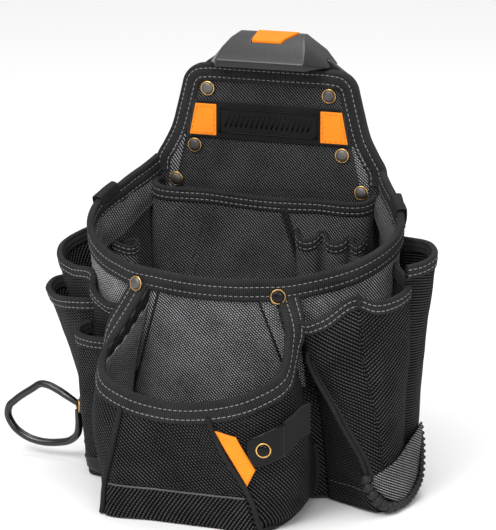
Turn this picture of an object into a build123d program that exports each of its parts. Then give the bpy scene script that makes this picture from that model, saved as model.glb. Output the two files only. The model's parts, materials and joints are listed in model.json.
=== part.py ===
from build123d import *
import math
import os

# Electrician tool pouch. Millimetres, +Z up, +Y towards the wearer.
# The origin is on the ground under the middle of the main pocket.

# ---- driving dimensions ----
WALL = 3.0                # fabric wall
BIND_PROUD = 1.5          # binding tape beyond the wall, on each side
FLOOR = 4.0               # sewn base board
TALL = 420.0              # taller than anything, for cutting tools
WIDE = 260.0              # wider than anything, for cutting tools
CLEAR = 0.4               # gap between parts that move past each other

BASE_HALF_WIDTH = 115.0   # main pocket at the ground
BASE_DEPTH = 62.0
MOUTH_Z = 240.0           # height at which the upper main outline is drawn
MOUTH_HALF_WIDTH = 130.6
MOUTH_DEPTH = 88.3
REAR_HALF_WIDTH = 95.0    # where the gussets meet the back panel
RIM_SLOPE = 0.448         # rise of the rim towards the back
RIM_SIDE_Z = 215.5        # top of the rim at the side tabs
RIM_SIDE_Y = 17.0
RIM_BAND = 15.0

PANEL_Y = 60.0            # front face of the back panel
PANEL_THICK = 8.0
PANEL_TOP = 309.0

POCKET_BAND = 10.0        # binding tape on the side pockets

RIVET_R = 4.35
RING_R = 5.7
PIN_R = 2.5
RUN_GAP = 0.08            # running clearance on a pin

os.makedirs("parts", exist_ok=True)
nodes = {}


# ---- helpers ----
def prism_x(points, x_low=-WIDE, x_high=WIDE):
    """Solid with a Y-Z outline, from x_low to x_high."""
    face = make_face(Polyline(*[(x_low, y, z) for y, z in points], close=True))
    return extrude(face, amount=x_high - x_low, dir=(1, 0, 0))


def prism_y(points, y_low=-WIDE, y_high=WIDE):
    """Solid with an X-Z outline, from y_low to y_high."""
    face = make_face(Polyline(*[(x, y_low, z) for x, z in points], close=True))
    return extrude(face, amount=y_high - y_low, dir=(0, 1, 0))


def prism_z(points, z_low, z_high):
    """Solid with an X-Y outline, from z_low to z_high."""
    face = make_face(Polyline(*[(x, y, z_low) for x, y in points], close=True))
    return extrude(face, amount=z_high - z_low, dir=(0, 0, 1))


def inset(outline, amount):
    """Move each side of a convex X-Y outline outwards by amount."""
    moved = []
    count = len(outline)
    area = sum(outline[i - 1][0] * outline[i][1] - outline[i][0] * outline[i - 1][1] for i in range(count))
    if area < 0:
        outline = outline[::-1]
    for i in range(count):
        before = Vector(*outline[i - 1], 0)
        here = Vector(*outline[i], 0)
        after = Vector(*outline[(i + 1) % count], 0)
        into = (here - before).normalized()
        away = (after - here).normalized()
        normal = (Vector(into.Y, -into.X, 0) + Vector(away.Y, -away.X, 0)).normalized()
        reach = amount / max(0.5, normal.dot(Vector(into.Y, -into.X, 0)))
        moved.append((here.X + normal.X * reach, here.Y + normal.Y * reach))
    return moved


def tower(sections, amount=0.0):
    """Stack of convex hulls between X-Y outlines given as (height, outline)."""
    stack = None
    for (z_low, low), (z_high, high) in zip(sections, sections[1:]):
        points = [(x, y, z_low) for x, y in inset(low, amount)]
        points += [(x, y, z_high) for x, y in inset(high, amount)]
        hull = ConvexPolyhedron(points)
        stack = hull if stack is None else stack + hull
    return stack


def under(slope, height, y_ref):
    """Everything below the plane z = height + slope * (y - y_ref)."""
    y_low, y_high = -WIDE, WIDE
    top = [(y_high, height + slope * (y_high - y_ref)), (y_low, height + slope * (y_low - y_ref))]
    return prism_x([(y_low, -WIDE), (y_high, -WIDE)] + top)


def clip(shape, *tools):
    """The part of a shape inside every tool, as solids only."""
    for tool in tools:
        shape = Part(list((shape & tool).solids()))
    return shape


def above_floor(height=FLOOR):
    return layer(height, TALL)


def layer(z_low, z_high):
    """Wide slab between two heights."""
    return prism_z([(-WIDE, -WIDE), (WIDE, -WIDE), (WIDE, WIDE), (-WIDE, WIDE)], z_low, z_high)


def rod(start, end, radius):
    """Round bar between two points."""
    start, end = Vector(start), Vector(end)
    plane = Plane(origin=start, z_dir=end - start)
    return extrude(plane * Circle(radius), amount=(end - start).length)


def route(points, radius):
    """Round bar along a chain of points, with ball corners."""
    shape = Pos(*points[0]) * Sphere(radius)
    for start, end in zip(points, points[1:]):
        shape += rod(start, end, radius)
        shape += Pos(*end) * Sphere(radius)
    return shape


def disc(centre, axis, radius, low, high, bore=0.0):
    """Round washer or plug along axis, from low to high measured from centre."""
    centre, axis = Vector(centre), Vector(axis).normalized()
    plane = Plane(origin=centre + axis * low, z_dir=axis)
    face = plane * Circle(radius)
    if bore:
        face -= plane * Circle(bore)
    return extrude(face, amount=high - low)


def dome(centre, axis, radius, height):
    """Rivet head: a short drum with a bevelled top."""
    centre, axis = Vector(centre), Vector(axis).normalized()
    drum = disc(centre, axis, radius, 0, height * 0.55)
    plane = Plane(origin=centre + axis * height * 0.55, z_dir=axis)
    cap = Cone(radius, radius * 0.55, height * 0.45, align=(Align.CENTER, Align.CENTER, Align.MIN))
    return drum + plane * cap


def both(shape):
    """A shape with its mirror image across X = 0."""
    return Compound(children=list(shape.solids()) + list(mirror(shape, about=Plane.YZ).solids()))


def biggest(shape):
    """The largest solid of a shape, without loose slivers."""
    return shape.solids().sort_by(SortBy.VOLUME)[-1]


def keep(name, shape):
    nodes[name] = shape


# ---- main pocket ----
def main_outline(half_width, depth):
    """Front half an ellipse, then straight flanks that run on past the back panel."""
    flank_x, flank_y, far_y = half_width - 6.0, 18.0, PANEL_Y + 20.0
    taper = (flank_x - REAR_HALF_WIDTH) / (PANEL_Y - flank_y)
    far_x = REAR_HALF_WIDTH - taper * (far_y - PANEL_Y)
    outline = [(far_x, far_y), (-far_x, far_y), (-flank_x, flank_y)]
    steps = 20
    for i in range(steps + 1):
        turn = math.pi * i / steps
        outline.append((-half_width * math.cos(turn), -depth * math.sin(turn)))
    outline.append((flank_x, flank_y))
    return outline


MAIN = [(0.0, main_outline(BASE_HALF_WIDTH, BASE_DEPTH)), (MOUTH_Z, main_outline(MOUTH_HALF_WIDTH, MOUTH_DEPTH))]
before_panel = prism_x([(-WIDE, 0), (PANEL_Y, 0), (PANEL_Y, TALL), (-WIDE, TALL)])
main_solid = clip(tower(MAIN), before_panel)
tape_outer = tower(MAIN, BIND_PROUD)
tape_inner = tower(MAIN, -WALL - BIND_PROUD)

under_rim = under(RIM_SLOPE, RIM_SIDE_Z, RIM_SIDE_Y)
under_band = under(RIM_SLOPE, RIM_SIDE_Z - RIM_BAND, RIM_SIDE_Y)
base_slab = layer(0, FLOOR)

main_wall = clip(main_solid - tower(MAIN, -WALL), under_band, above_floor())
SEAM_LOW, SEAM_HIGH, SEAM_TOP_Z = 84.0, 36.0, 165.0
front_wedge = prism_y([(-SEAM_LOW, 0), (SEAM_LOW, 0), (SEAM_HIGH, SEAM_TOP_Z), (-SEAM_HIGH, SEAM_TOP_Z)], -WIDE, 0)
keep("main_front_panel", clip(main_wall, front_wedge))
flank = main_wall - front_wedge
left_half = prism_z([(-WIDE, -WIDE), (0, -WIDE), (0, WIDE), (-WIDE, WIDE)], -10, TALL)
right_half = prism_z([(0, -WIDE), (WIDE, -WIDE), (WIDE, WIDE), (0, WIDE)], -10, TALL)
keep("main_left_gusset", clip(flank, left_half))
keep("main_right_gusset", clip(flank, right_half))
keep("base_panel", clip(main_solid, base_slab))

band_front = prism_x([(-WIDE, 0), (PANEL_Y - 1.7, 0), (PANEL_Y - 1.7, TALL), (-WIDE, TALL)])
rim_band = clip(tape_outer - tape_inner, under_rim) - under_band
keep("main_rim_binding", clip(rim_band, band_front))

# ---- back panel ----
PANEL_CORE = [(95.0, FLOOR), (95.0, 229.0), (80.5, 234.0), (68.0, 256.0), (58.5, 289.0), (50.0, 295.0)]
PANEL_EDGE = [(95.0, 229.0), (94.5, 234.0), (82.0, 256.5), (72.5, 291.0), (66.0, 302.0), (55.0, PANEL_TOP)]


def mirrored(half):
    """Right-hand outline points, then their mirror images in reverse."""
    return half + [(-x, z) for x, z in reversed(half)]


core = prism_y(mirrored(PANEL_CORE), PANEL_Y, PANEL_Y + PANEL_THICK)
edge = prism_y(mirrored(PANEL_EDGE), PANEL_Y - BIND_PROUD, PANEL_Y + PANEL_THICK + BIND_PROUD)
keep("back_panel", core)
keep("back_panel_binding", edge - prism_y(mirrored(PANEL_CORE)))

# ---- name strip and orange patches (front of the back panel) ----
STRIP_THICK = 2.0
STRIP_LOW, STRIP_HIGH = 252.6, 277.6
PATCH_IN = 43.0
strip = prism_y([(-PATCH_IN, STRIP_LOW), (PATCH_IN, STRIP_LOW), (PATCH_IN, STRIP_HIGH), (-PATCH_IN, STRIP_HIGH)],
                PANEL_Y - STRIP_THICK, PANEL_Y)
for edge_z in (STRIP_LOW - 2.4, STRIP_HIGH):
    reach = 60.0 if edge_z > STRIP_LOW else 64.0
    strip += prism_y([(-reach, edge_z), (reach, edge_z), (reach, edge_z + 2.4), (-reach, edge_z + 2.4)],
                     PANEL_Y - STRIP_THICK, PANEL_Y)
keep("name_strip", strip)
PATCH = [(PATCH_IN, STRIP_LOW), (65.5, STRIP_LOW), (60.5, STRIP_HIGH), (PATCH_IN, STRIP_HIGH)]
keep("orange_patch_right", prism_y(PATCH, PANEL_Y - STRIP_THICK, PANEL_Y))
keep("orange_patch_left", prism_y([(-x, z) for x, z in PATCH], PANEL_Y - STRIP_THICK, PANEL_Y))

# ---- inner tool panel, in front of the back panel ----
INNER_LOW = 60.0
INNER_TOP = 210.0
INNER_BAND = 10.0
INNER = [
    (INNER_LOW, [(-82.0, 80.0), (-82.0, 57.0), (-76.0, 53.0), (76.0, 53.0), (82.0, 57.0), (82.0, 80.0)]),
    (INNER_TOP, [(-91.0, 80.0), (-91.0, 51.0), (-86.0, 43.5), (86.0, 43.5), (91.0, 51.0), (91.0, 80.0)]),
]
inner_shell = tower(INNER) - tower(INNER, -WALL)
inner_body = clip(inner_shell, before_panel, layer(0, INNER_TOP - INNER_BAND))
inner_floor = clip(tower(INNER), before_panel, layer(INNER_LOW, INNER_LOW + WALL))
keep("inner_tool_panel", inner_body + inner_floor)
inner_tape = tower(INNER, BIND_PROUD) - tower(INNER, -WALL - BIND_PROUD)
inner_tape = clip(inner_tape, band_front, layer(INNER_TOP - INNER_BAND, INNER_TOP))
keep("inner_panel_binding", inner_tape)


def slope_y(z):
    """Front face of the inner panel at a height."""
    return 53.0 + (43.5 - 53.0) * (z - INNER_LOW) / (INNER_TOP - INNER_LOW)


# folded seam that divides the inner panel's front, from rim to floor
seam_low, seam_high = (47.0, 110.0), (19.5, INNER_TOP - INNER_BAND - 1.0)
fold = ConvexPolyhedron([
    (x + dx, slope_y(z) - dy, z)
    for x, z in (seam_low, seam_high) for dx, dy in ((-2.5, 0.0), (2.5, 0.0), (-1.0, 3.0), (1.0, 3.0))
])
keep("inner_folded_seam", fold - tower(INNER))

# pen pocket: three scallops side by side on the inner panel's right half
PEN_LOW, PEN_TOP, PEN_BAND, PEN_R = 120.0, 186.0, 8.0, 9.0
PEN_X = [36.0 + 17.0 * i for i in range(3)]


def scallops(grow):
    shape = None
    for x in PEN_X:
        top = (x, slope_y(PEN_TOP) - 1.0, PEN_TOP)
        low = (x, slope_y(PEN_LOW) - 1.0, PEN_LOW)
        tube = rod(low, top, PEN_R + grow)
        shape = tube if shape is None else shape + tube
    return shape


inner_front = tower(INNER)
pen_cut = layer(0, PEN_TOP - PEN_BAND)
pen_shell = scallops(0) - scallops(-2.0) - inner_front
pen_plug = clip(scallops(0) - inner_front, layer(PEN_LOW - 10, PEN_LOW + 3))
keep("inner_pen_pocket", clip(pen_shell, pen_cut) + pen_plug - fold)
pen_tape = (scallops(0.8) - scallops(-2.8) - inner_front - fold) - pen_cut
keep("inner_pen_binding", pen_tape)

# small loop and ribbed webs on the gusset lining
loop_low, loop_high = (-112.0, -4.0, 140.0), (-115.5, -8.0, 181.0)
loop_shape = rod(loop_low, loop_high, 9.0) - rod(loop_low, loop_high, 7.0)
inner_limit = clip(tower(MAIN, -WALL), under_band)
keep("inner_left_loop", clip(loop_shape, inner_limit))
WEB_LOW, WEB_THICK = 128.0, 2.5
web_rear, web_front = Vector(86.5, 55.5), Vector(108.0, 17.0)
web_in = Vector(-0.87, -0.49) * WEB_THICK
web_points = []
for spot, top in ((web_rear, 206.0), (web_front, 194.0)):
    for shift in (Vector(0, 0), web_in):
        here = spot + shift
        web_points += [(here.X, here.Y, WEB_LOW), (here.X, here.Y, top)]
web = clip(ConvexPolyhedron(web_points), inner_limit) - tower(INNER, BIND_PROUD)
keep("shoulder_webs", both(web))


# ---- front pocket ----
def front_outline(front, left, right):
    """Flat front, then on each side a bevel and a flank.

    left and right are (front corner x, bevel end x, bevel end y, flank x).
    """
    flank_y = -40.0
    outline = [(-left[0], front), (-left[1], left[2]), (-left[3], flank_y)]
    return outline + [(right[3], flank_y), (right[1], right[2]), (right[0], front)]


FRONT = [
    (0.0, front_outline(-131.0, (60.0, 72.0, -121.0, 78.0), (60.0, 72.0, -121.0, 78.0))),
    (20.0, front_outline(-131.5, (61.0, 75.0, -118.0, 80.0), (62.0, 86.0, -113.0, 86.0))),
    (61.0, front_outline(-132.0, (64.0, 79.0, -112.0, 80.0), (64.0, 90.0, -110.0, 86.0))),
    (108.0, front_outline(-121.0, (64.0, 79.5, -108.0, 80.0), (64.0, 79.5, -108.0, 80.0))),
    (172.0, front_outline(-84.0, (50.0, 57.0, -76.0, 57.0), (50.0, 57.0, -76.0, 57.0))),
]
# upper and lower edges of the mouth tape, seen from the side
MOUTH_UPPER = [(-55.0, 181.0), (-74.5, 167.0), (-101.5, 112.0), (-113.0, 101.0), (-150.0, 96.5)]
MOUTH_LOWER = [(-55.0, 156.0), (-64.0, 152.0), (-98.0, 101.0), (-112.0, 88.0), (-150.0, 82.0)]
front_open = prism_x(MOUTH_UPPER + [(-150.0, TALL), (-55.0, TALL)])
front_taped = prism_x(MOUTH_LOWER + [(-150.0, TALL), (-55.0, TALL)])
main_block = clip(tape_outer, before_panel)
front_solid = tower(FRONT) - main_block
front_shell = (tower(FRONT) - tower(FRONT, -WALL)) - main_block
front_shell = clip(front_shell - front_taped, above_floor())
# the sewn face is a trapezoid, with its top set to the left
FACE = [(-65.0, 0.0), (69.4, 0.0), (8.6, 96.0), (-41.9, 96.0)]
face_wedge = prism_y(FACE, -WIDE, -126.0)
keep("front_pocket_face", clip(front_shell, face_wedge))
front_sides = front_shell - face_wedge
keep("front_pocket_base", clip(front_solid, base_slab))
front_tape = (tower(FRONT, BIND_PROUD) - tower(FRONT, -WALL - BIND_PROUD)) - main_block
front_tape = clip(front_tape, front_taped) - front_open
keep("front_pocket_binding", biggest(front_tape))

KICK_Z = 24.0
KICK_LOW_X, KICK_HIGH_X = 58.0, 53.0
kick_outline = [(KICK_LOW_X, FLOOR), (KICK_HIGH_X, KICK_Z)]
kick_area = prism_y(mirrored(kick_outline), -WIDE, -128.0)
kick = clip(tower(FRONT, 1.2) - tower(FRONT), kick_area)
keep("front_pocket_kick_band", kick)

PIPE_R = 2.2
pipes = []
for low, high in (((-62.5, -129.8, 4.5), (-45.5, -132.4, 79.5)), ((64.4, -129.2, 6.0), (19.2, -132.4, 79.5))):
    pipes.append(biggest(rod(low, high, PIPE_R) - tower(FRONT) - kick))
keep("front_pipings", Compound(children=pipes))
keep("front_pocket_left_gusset", clip(front_sides, left_half))
keep("front_pocket_right_gusset", clip(front_sides, right_half))

# orange tag sewn beside the right seam
TAG = [(27.0, 75.0), (42.0, 72.0), (57.5, 47.5), (52.0, 34.5)]
tag_plane = prism_y(TAG, -133.5, -130.0)
keep("orange_tag", tag_plane - tower(FRONT) - nodes["front_pipings"])

# ---- tape strap on the front pocket's right gusset, hinged at its root seam ----
STRAP_Y = -134.4
strap_path = [((93.0, -111.0), 98.0, 75.0), ((78.5, -123.4), 83.0, 58.0), ((65.4, STRAP_Y), 77.0, 53.5), ((52.0, STRAP_Y), 71.0, 49.0)]
STRAP_THICK = 2.2
out_side = Vector(0.646, -0.763)


def strap_piece(start, end):
    points = []
    for (x, y), top, low in (start, end):
        for z in (top, low):
            points.append((x, y, z))
            points.append((x + out_side.X * STRAP_THICK, y + out_side.Y * STRAP_THICK, z))
    return ConvexPolyhedron(points)


keep("strap_web", strap_piece(strap_path[0], strap_path[1]))
strap_end = strap_piece(strap_path[1], strap_path[2]) + strap_piece(strap_path[2], strap_path[3])
SNAP = Vector(59.0, STRAP_Y - STRAP_THICK * 0.763, 62.5)
keep("strap_tip", strap_end)
keep("snap_cap", dome(SNAP, (0, -1, 0), 5.2, 2.4))
keep("snap_ring", disc(SNAP, (0, -1, 0), 6.6, 0, 1.0, bore=5.25))
stud = disc((SNAP.X, -132.0, SNAP.Z), (0, -1, 0), 3.6, -0.5, 1.6) - tower(FRONT) - nodes["orange_tag"]
keep("snap_stud", stud)

# ---- side pockets ----
RIGHT_FRONT = [
    (0.0, [(104.0, -40.0), (119.0, -54.0), (131.0, -58.0), (140.0, -48.0), (142.0, -10.0), (110.0, -5.0)]),
    (60.0, [(88.0, -45.0), (104.0, -66.0), (126.0, -60.0), (141.0, -42.0), (142.0, -12.0), (110.0, -5.0)]),
    (200.0, [(66.0, -60.0), (72.0, -91.0), (104.0, -77.0), (132.0, -52.0), (142.0, -30.0), (142.0, 0.0), (110.0, 0.0)]),
]
RIGHT_REAR = [
    (0.0, [(110.0, -30.0), (142.0, -30.0), (145.0, -20.0), (145.0, 2.0), (138.0, 22.0), (105.0, 32.0)]),
    (89.0, [(110.0, -30.0), (144.0, -30.0), (149.0, -18.0), (149.7, 2.0), (140.0, 22.0), (110.0, 30.0)]),
    (200.0, [(110.0, -32.0), (146.0, -32.0), (157.5, -16.0), (158.0, -2.0), (144.0, 18.0), (112.0, 26.0)]),
]
LEFT_REAR = [
    (0.0, [(-105.0, -45.0), (-105.0, 30.0), (-124.0, 22.0), (-128.0, 5.0), (-128.0, -20.0), (-118.0, -38.0)]),
    (56.0, [(-105.0, -45.0), (-107.0, 30.0), (-126.0, 22.0), (-129.0, 5.0), (-129.0, -19.0), (-118.5, -38.0)]),
    (200.0, [(-96.0, -62.0), (-112.0, 26.0), (-138.0, 22.0), (-155.0, 6.0), (-155.0, -20.0), (-136.0, -44.0), (-108.0, -61.0)]),
]
LEFT_MID = [
    (0.0, [(-98.0, -42.0), (-105.0, 24.0), (-126.0, 16.0), (-133.0, 4.0), (-133.0, -16.0), (-122.0, -35.0), (-106.0, -46.0)]),
    (56.0, [(-98.0, -42.0), (-105.0, 24.0), (-126.0, 16.0), (-133.0, 4.0), (-133.0, -16.0), (-122.0, -35.0), (-106.0, -48.0)]),
    (140.0, [(-96.0, -54.0), (-108.0, 22.0), (-146.0, 14.0), (-158.5, -2.0), (-158.5, -24.0), (-138.0, -50.0), (-112.0, -66.0)]),
]
LEFT_LOW = [
    (0.0, [(-84.0, -40.0), (-108.0, -30.0), (-114.0, -44.0), (-107.0, -54.0), (-92.0, -56.0)]),
    (140.0, [(-82.0, -60.0), (-108.0, -48.0), (-113.0, -66.0), (-106.0, -79.0), (-88.0, -84.0)]),
]
# name, outline, rim slope, rim height at y_ref, y_ref, what it is cut back from
front_keepout = tower(FRONT, BIND_PROUD + 0.2)
taken = main_block + front_keepout
side_pockets = [
    ("right_front_pocket", RIGHT_FRONT, 0.55, 143.0, -80.0),
    ("right_rear_pocket", RIGHT_REAR, 0.25, 186.0, 0.0),
    ("left_rear_pocket", LEFT_REAR, 0.60, 172.0, 0.0),
    ("left_mid_pocket", LEFT_MID, 0.05, 135.0, -20.0),
    ("left_low_pocket", LEFT_LOW, 0.25, 118.0, -70.0),
]
blocks = {"left": taken, "right": taken}
for name, sections, slope, height, y_ref in side_pockets:
    side = name.split("_")[0]
    block = blocks[side]
    outer = tower(sections)
    hollow = clip(tower(sections, -WALL), above_floor())
    rim = under(slope, height, y_ref)
    below = under(slope, height - POCKET_BAND, y_ref)
    wall = clip(outer - hollow, below) - block
    tape = tower(sections, BIND_PROUD) - tower(sections, -WALL - BIND_PROUD)
    tape = clip(tape, rim) - below - block
    keep(name, wall)
    keep(name + "_binding", tape)
    blocks[side] = block + clip(tower(sections, BIND_PROUD), rim)

# side tabs: folded webbing stubs on the rim
TAB_THICK, TAB_WIDE, TAB_TALL = 6.0, 13.0, 26.0
tab = Pos(122.5, 17.0, 210.0) * Rot(0, 0, -18) * Box(TAB_THICK, TAB_WIDE, TAB_TALL)
tab_right = biggest(tab - blocks["right"])
tab_left = biggest(mirror(tab, about=Plane.YZ) - blocks["left"])
keep("side_tabs", Compound(children=[tab_right, tab_left]))

# diagonal piping on the right front pocket, and the rubber corner guards
RIGHT_SEAM = [(74.0, -69.0, 114.6), (101.0, -70.0, 68.6), (124.0, -63.5, 24.0)]
pipe = route(RIGHT_SEAM, PIPE_R)
seam_bar = pipe - tower(RIGHT_FRONT) - tower(RIGHT_REAR) - taken
keep("right_pocket_piping", biggest(seam_bar))

GUARD_THICK = 2.0
guard_top = under(0.50, 30.0, -62.0)
right_block = tower(RIGHT_FRONT) + tower(RIGHT_REAR)
guard = clip(tower(RIGHT_FRONT, GUARD_THICK) + tower(RIGHT_REAR, GUARD_THICK), guard_top)
guard = guard - right_block - taken - nodes["right_pocket_piping"]
guard = clip(guard, prism_z([(118.0, -WIDE), (WIDE, -WIDE), (WIDE, 12.0), (118.0, 12.0)], 0, TALL))
keep("corner_guard_right", biggest(guard))
left_block = tower(LEFT_MID) + tower(LEFT_LOW) + tower(LEFT_REAR)
guard = clip(tower(LEFT_MID, GUARD_THICK) + tower(LEFT_LOW, GUARD_THICK), under(0.0, 21.0, 0.0))
guard = guard - left_block - taken
guard = clip(guard, prism_z([(-WIDE, -WIDE), (-104.0, -WIDE), (-104.0, 8.0), (-WIDE, 8.0)], 0, TALL))
keep("corner_guard_left", biggest(guard))
CORD_R = 3.6
CORD = [(125.5, -66.5, 24.0), (131.0, -66.0, 11.0), (138.0, -58.0, CORD_R + 0.2), (147.0, -38.0, CORD_R + 0.2),
        (151.0, -14.0, 5.0), (153.5, 2.0, 20.0), (153.5, 4.0, 52.0)]
cord_bar = route(CORD, CORD_R) - tower(RIGHT_FRONT, GUARD_THICK) - tower(RIGHT_REAR, GUARD_THICK)
cord_bar = cord_bar - nodes["right_pocket_piping"]
keep("corner_guard_cord", biggest(cord_bar))

# ---- hammer loop, riveted to the left mid pocket ----
FACET = Vector(-0.8655, -0.5010, 0)
LOOP_SEAT = Vector(-127.5, -25.5, 44.0)
LOOP_R = 3.2
EYE_THICK = 2.4
EYE_HALF_W, EYE_HALF_H = 7.0, 12.0
eye_centre = LOOP_SEAT + FACET * (CLEAR + EYE_THICK / 2)
eye_plane = Plane(origin=eye_centre - FACET * EYE_THICK / 2, x_dir=(0, 0, 1), z_dir=FACET)
eye_face = eye_plane * (RectangleRounded(2 * EYE_HALF_H, 2 * EYE_HALF_W, 4.0) - Circle(PIN_R + RUN_GAP))
eye = extrude(eye_face, amount=EYE_THICK)
start = eye_centre + FACET * 2.6 + Vector(0, 0, 8.5)
finish = eye_centre + FACET * 2.6 + Vector(0, 0, -8.5)
LOOP_BOW = [(-146.0, -27.0, 55.5), (-161.0, -27.0, 60.5), (-178.0, -25.0, 49.0), (-194.5, -22.0, 33.0),
            (-187.0, -17.0, 17.5), (-166.0, -15.0, 8.0), (-147.0, -17.0, 12.0), (-139.0, -22.0, 22.0)]
bow = [tuple(start)] + LOOP_BOW + [tuple(finish)]
loop_body = route(bow, LOOP_R) + eye
keep("hammer_loop", loop_body - disc(LOOP_SEAT, FACET, 5.2, CLEAR + EYE_THICK, 12.0)
     - disc(LOOP_SEAT, FACET, PIN_R + RUN_GAP, -1.0, 12.0))
HEAD_SEAT = CLEAR + EYE_THICK + 0.3
pin = disc(LOOP_SEAT, FACET, PIN_R, 0.0, HEAD_SEAT + 1.0)
keep("hammer_loop_rivet", pin + dome(LOOP_SEAT + FACET * HEAD_SEAT, FACET, RIVET_R, 2.4))

# ---- rivets and their rings ----
FRONT_FACE = (0, -1, 0)
panel_spots = [(50.0, PANEL_Y, 289.5), (61.0, PANEL_Y, 244.0), (77.0, PANEL_Y, 216.5)]
heads = []
rings = []
for x, y, z in panel_spots:
    for side in (-1, 1):
        spot = (side * x, y, z)
        heads.append(biggest(dome(spot, FRONT_FACE, RIVET_R, 2.8) - nodes["back_panel_binding"]))
        ring = disc(spot, FRONT_FACE, RING_R, 0, 1.1, bore=RIVET_R + 0.02)
        rings.append(biggest(ring - nodes["back_panel_binding"]))
keep("panel_rivets", Compound(children=heads))
RIM_SPOT = Vector(55.2, -73.2, 164.5)
rim_axis = Vector(0.36, -0.92, 0.14)
rim_block = tape_outer + nodes["front_pocket_binding"]
heads = []
for side in (-1, 1):
    spot = Vector(side * RIM_SPOT.X, RIM_SPOT.Y, RIM_SPOT.Z)
    axis = Vector(side * rim_axis.X, rim_axis.Y, rim_axis.Z)
    heads.append(biggest(disc(spot, axis, RIVET_R, 0, 7.6) - rim_block))
    rings.append(biggest(disc(spot, axis, RING_R, 0, 6.6, bore=RIVET_R + 0.02) - rim_block))
keep("rim_rivets", Compound(children=heads))
keep("rivet_rings", Compound(children=rings))

# ---- dock: polymer receiver on the back of the panel ----
REAR_Y = PANEL_Y + PANEL_THICK
DOCK_THICK = 5.0
DOCK_Y = REAR_Y + BIND_PROUD + DOCK_THICK
HUB_TOP_Z = 292.0          # top of the wedge when docked
WEDGE_TALL = 66.0
WEDGE_TOP_HALF, WEDGE_LOW_HALF = 13.5, 27.5
WEDGE_HEAD = 8.0           # depth of the wedge head
NECK = 4.0                 # how far the lips reach in behind the head
NECK_DEPTH = 4.0
dock_outline = [(46.0, 206.0), (50.0, 216.0), (60.0, 306.0), (46.0, 316.0)]
dock_base = prism_y(mirrored(dock_outline), REAR_Y + BIND_PROUD, DOCK_Y)
dock_base += prism_y(mirrored([(44.0, 206.0), (44.0, 294.0)]), REAR_Y, REAR_Y + BIND_PROUD)


def wedge_prism(grow, y_low, y_high, low_extra=0.0):
    """Wedge outline, wide at the bottom, grown sideways and upwards."""
    low_z = HUB_TOP_Z - WEDGE_TALL - low_extra
    flare = (WEDGE_LOW_HALF - WEDGE_TOP_HALF) / WEDGE_TALL
    low_half = WEDGE_LOW_HALF + flare * low_extra + grow
    top_half = WEDGE_TOP_HALF + grow
    points = [(-low_half, low_z), (low_half, low_z), (top_half, HUB_TOP_Z + grow), (-top_half, HUB_TOP_Z + grow)]
    return prism_y(points, y_low, y_high)


HEAD_END = DOCK_Y + WEDGE_HEAD + 0.6
JAW_END = HEAD_END + NECK_DEPTH - 0.6
jaw_outline = [(44.0, 212.0), (44.0, 300.0), (36.0, 308.0)]
jaws = prism_y(mirrored(jaw_outline), DOCK_Y, JAW_END)
jaws -= wedge_prism(0.5, DOCK_Y, HEAD_END, low_extra=40.0)
jaws -= wedge_prism(0.5 - NECK, HEAD_END, JAW_END, low_extra=40.0)
keep("dock_receiver", dock_base + jaws)

# hood over the top of the panel, with a sprung orange button
HOOD_LOW, HOOD_LIP, HOOD_TOP = 311.0, 317.0, 335.0
hood_points = []
for side in (-1, 1):
    hood_points += [(side * 36.0, 37.0, HOOD_LOW), (side * 36.0, 37.0, HOOD_LIP)]
    hood_points += [(side * 33.5, 47.0, 326.0), (side * 30.0, 58.0, 332.2)]
    hood_points += [(side * 27.0, 68.0, HOOD_TOP), (side * 27.0, 74.0, HOOD_TOP)]
    hood_points += [(side * 49.0, 61.0, HOOD_LOW), (side * 49.0, 84.0, HOOD_LOW), (side * 40.0, 84.0, 322.0)]
hood = ConvexPolyhedron(hood_points)
BUTTON = [(-12.0, 54.0), (12.0, 54.0), (22.0, 71.0), (-12.0, 71.0)]
BUTTON_LOW = 320.0
SHAFT_LOW = 313.5
button_block = prism_z(BUTTON, BUTTON_LOW, TALL)
button_room = prism_z(inset(BUTTON, CLEAR), SHAFT_LOW, TALL)
lift = ConvexPolyhedron([(x, y, z + 1.4) for x, y, z in hood_points])
hood_wall = hood - prism_y([(-50.0, 300.0), (50.0, 300.0), (50.0, 316.0), (-50.0, 316.0)], REAR_Y, DOCK_Y)
keep("dock_hood", hood_wall - button_room)
keep("release_button", clip(button_block, lift))

# latch blade inside the dock: it follows the button
BLADE = [(-8.0, 276.0), (8.0, 276.0), (8.0, 309.5), (-8.0, 309.5)]
blade_room = prism_y([(-8.4, 271.0), (8.4, 271.0), (8.4, HOOD_LOW), (-8.4, HOOD_LOW)], REAR_Y + 2.7, DOCK_Y - 0.8)
blade = prism_y(BLADE, REAR_Y + 3.1, DOCK_Y - 1.2)
nodes["dock_receiver"] = nodes["dock_receiver"] - blade_room
keep("latch_blade", blade)
keep("button_spring", disc((0.0, 62.0, SHAFT_LOW), (0, 0, 1), 3.6, 0.0, BUTTON_LOW - SHAFT_LOW, bore=2.4))
screw_set = None
for side in (-1, 1):
    for z in (222.0, 298.0):
        head = dome((side * (52.0 if z > 250 else 47.0), DOCK_Y, z), (0, 1, 0), 2.6, 2.0)
        screw_set = head if screw_set is None else screw_set + head
keep("dock_screws", screw_set)

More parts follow.
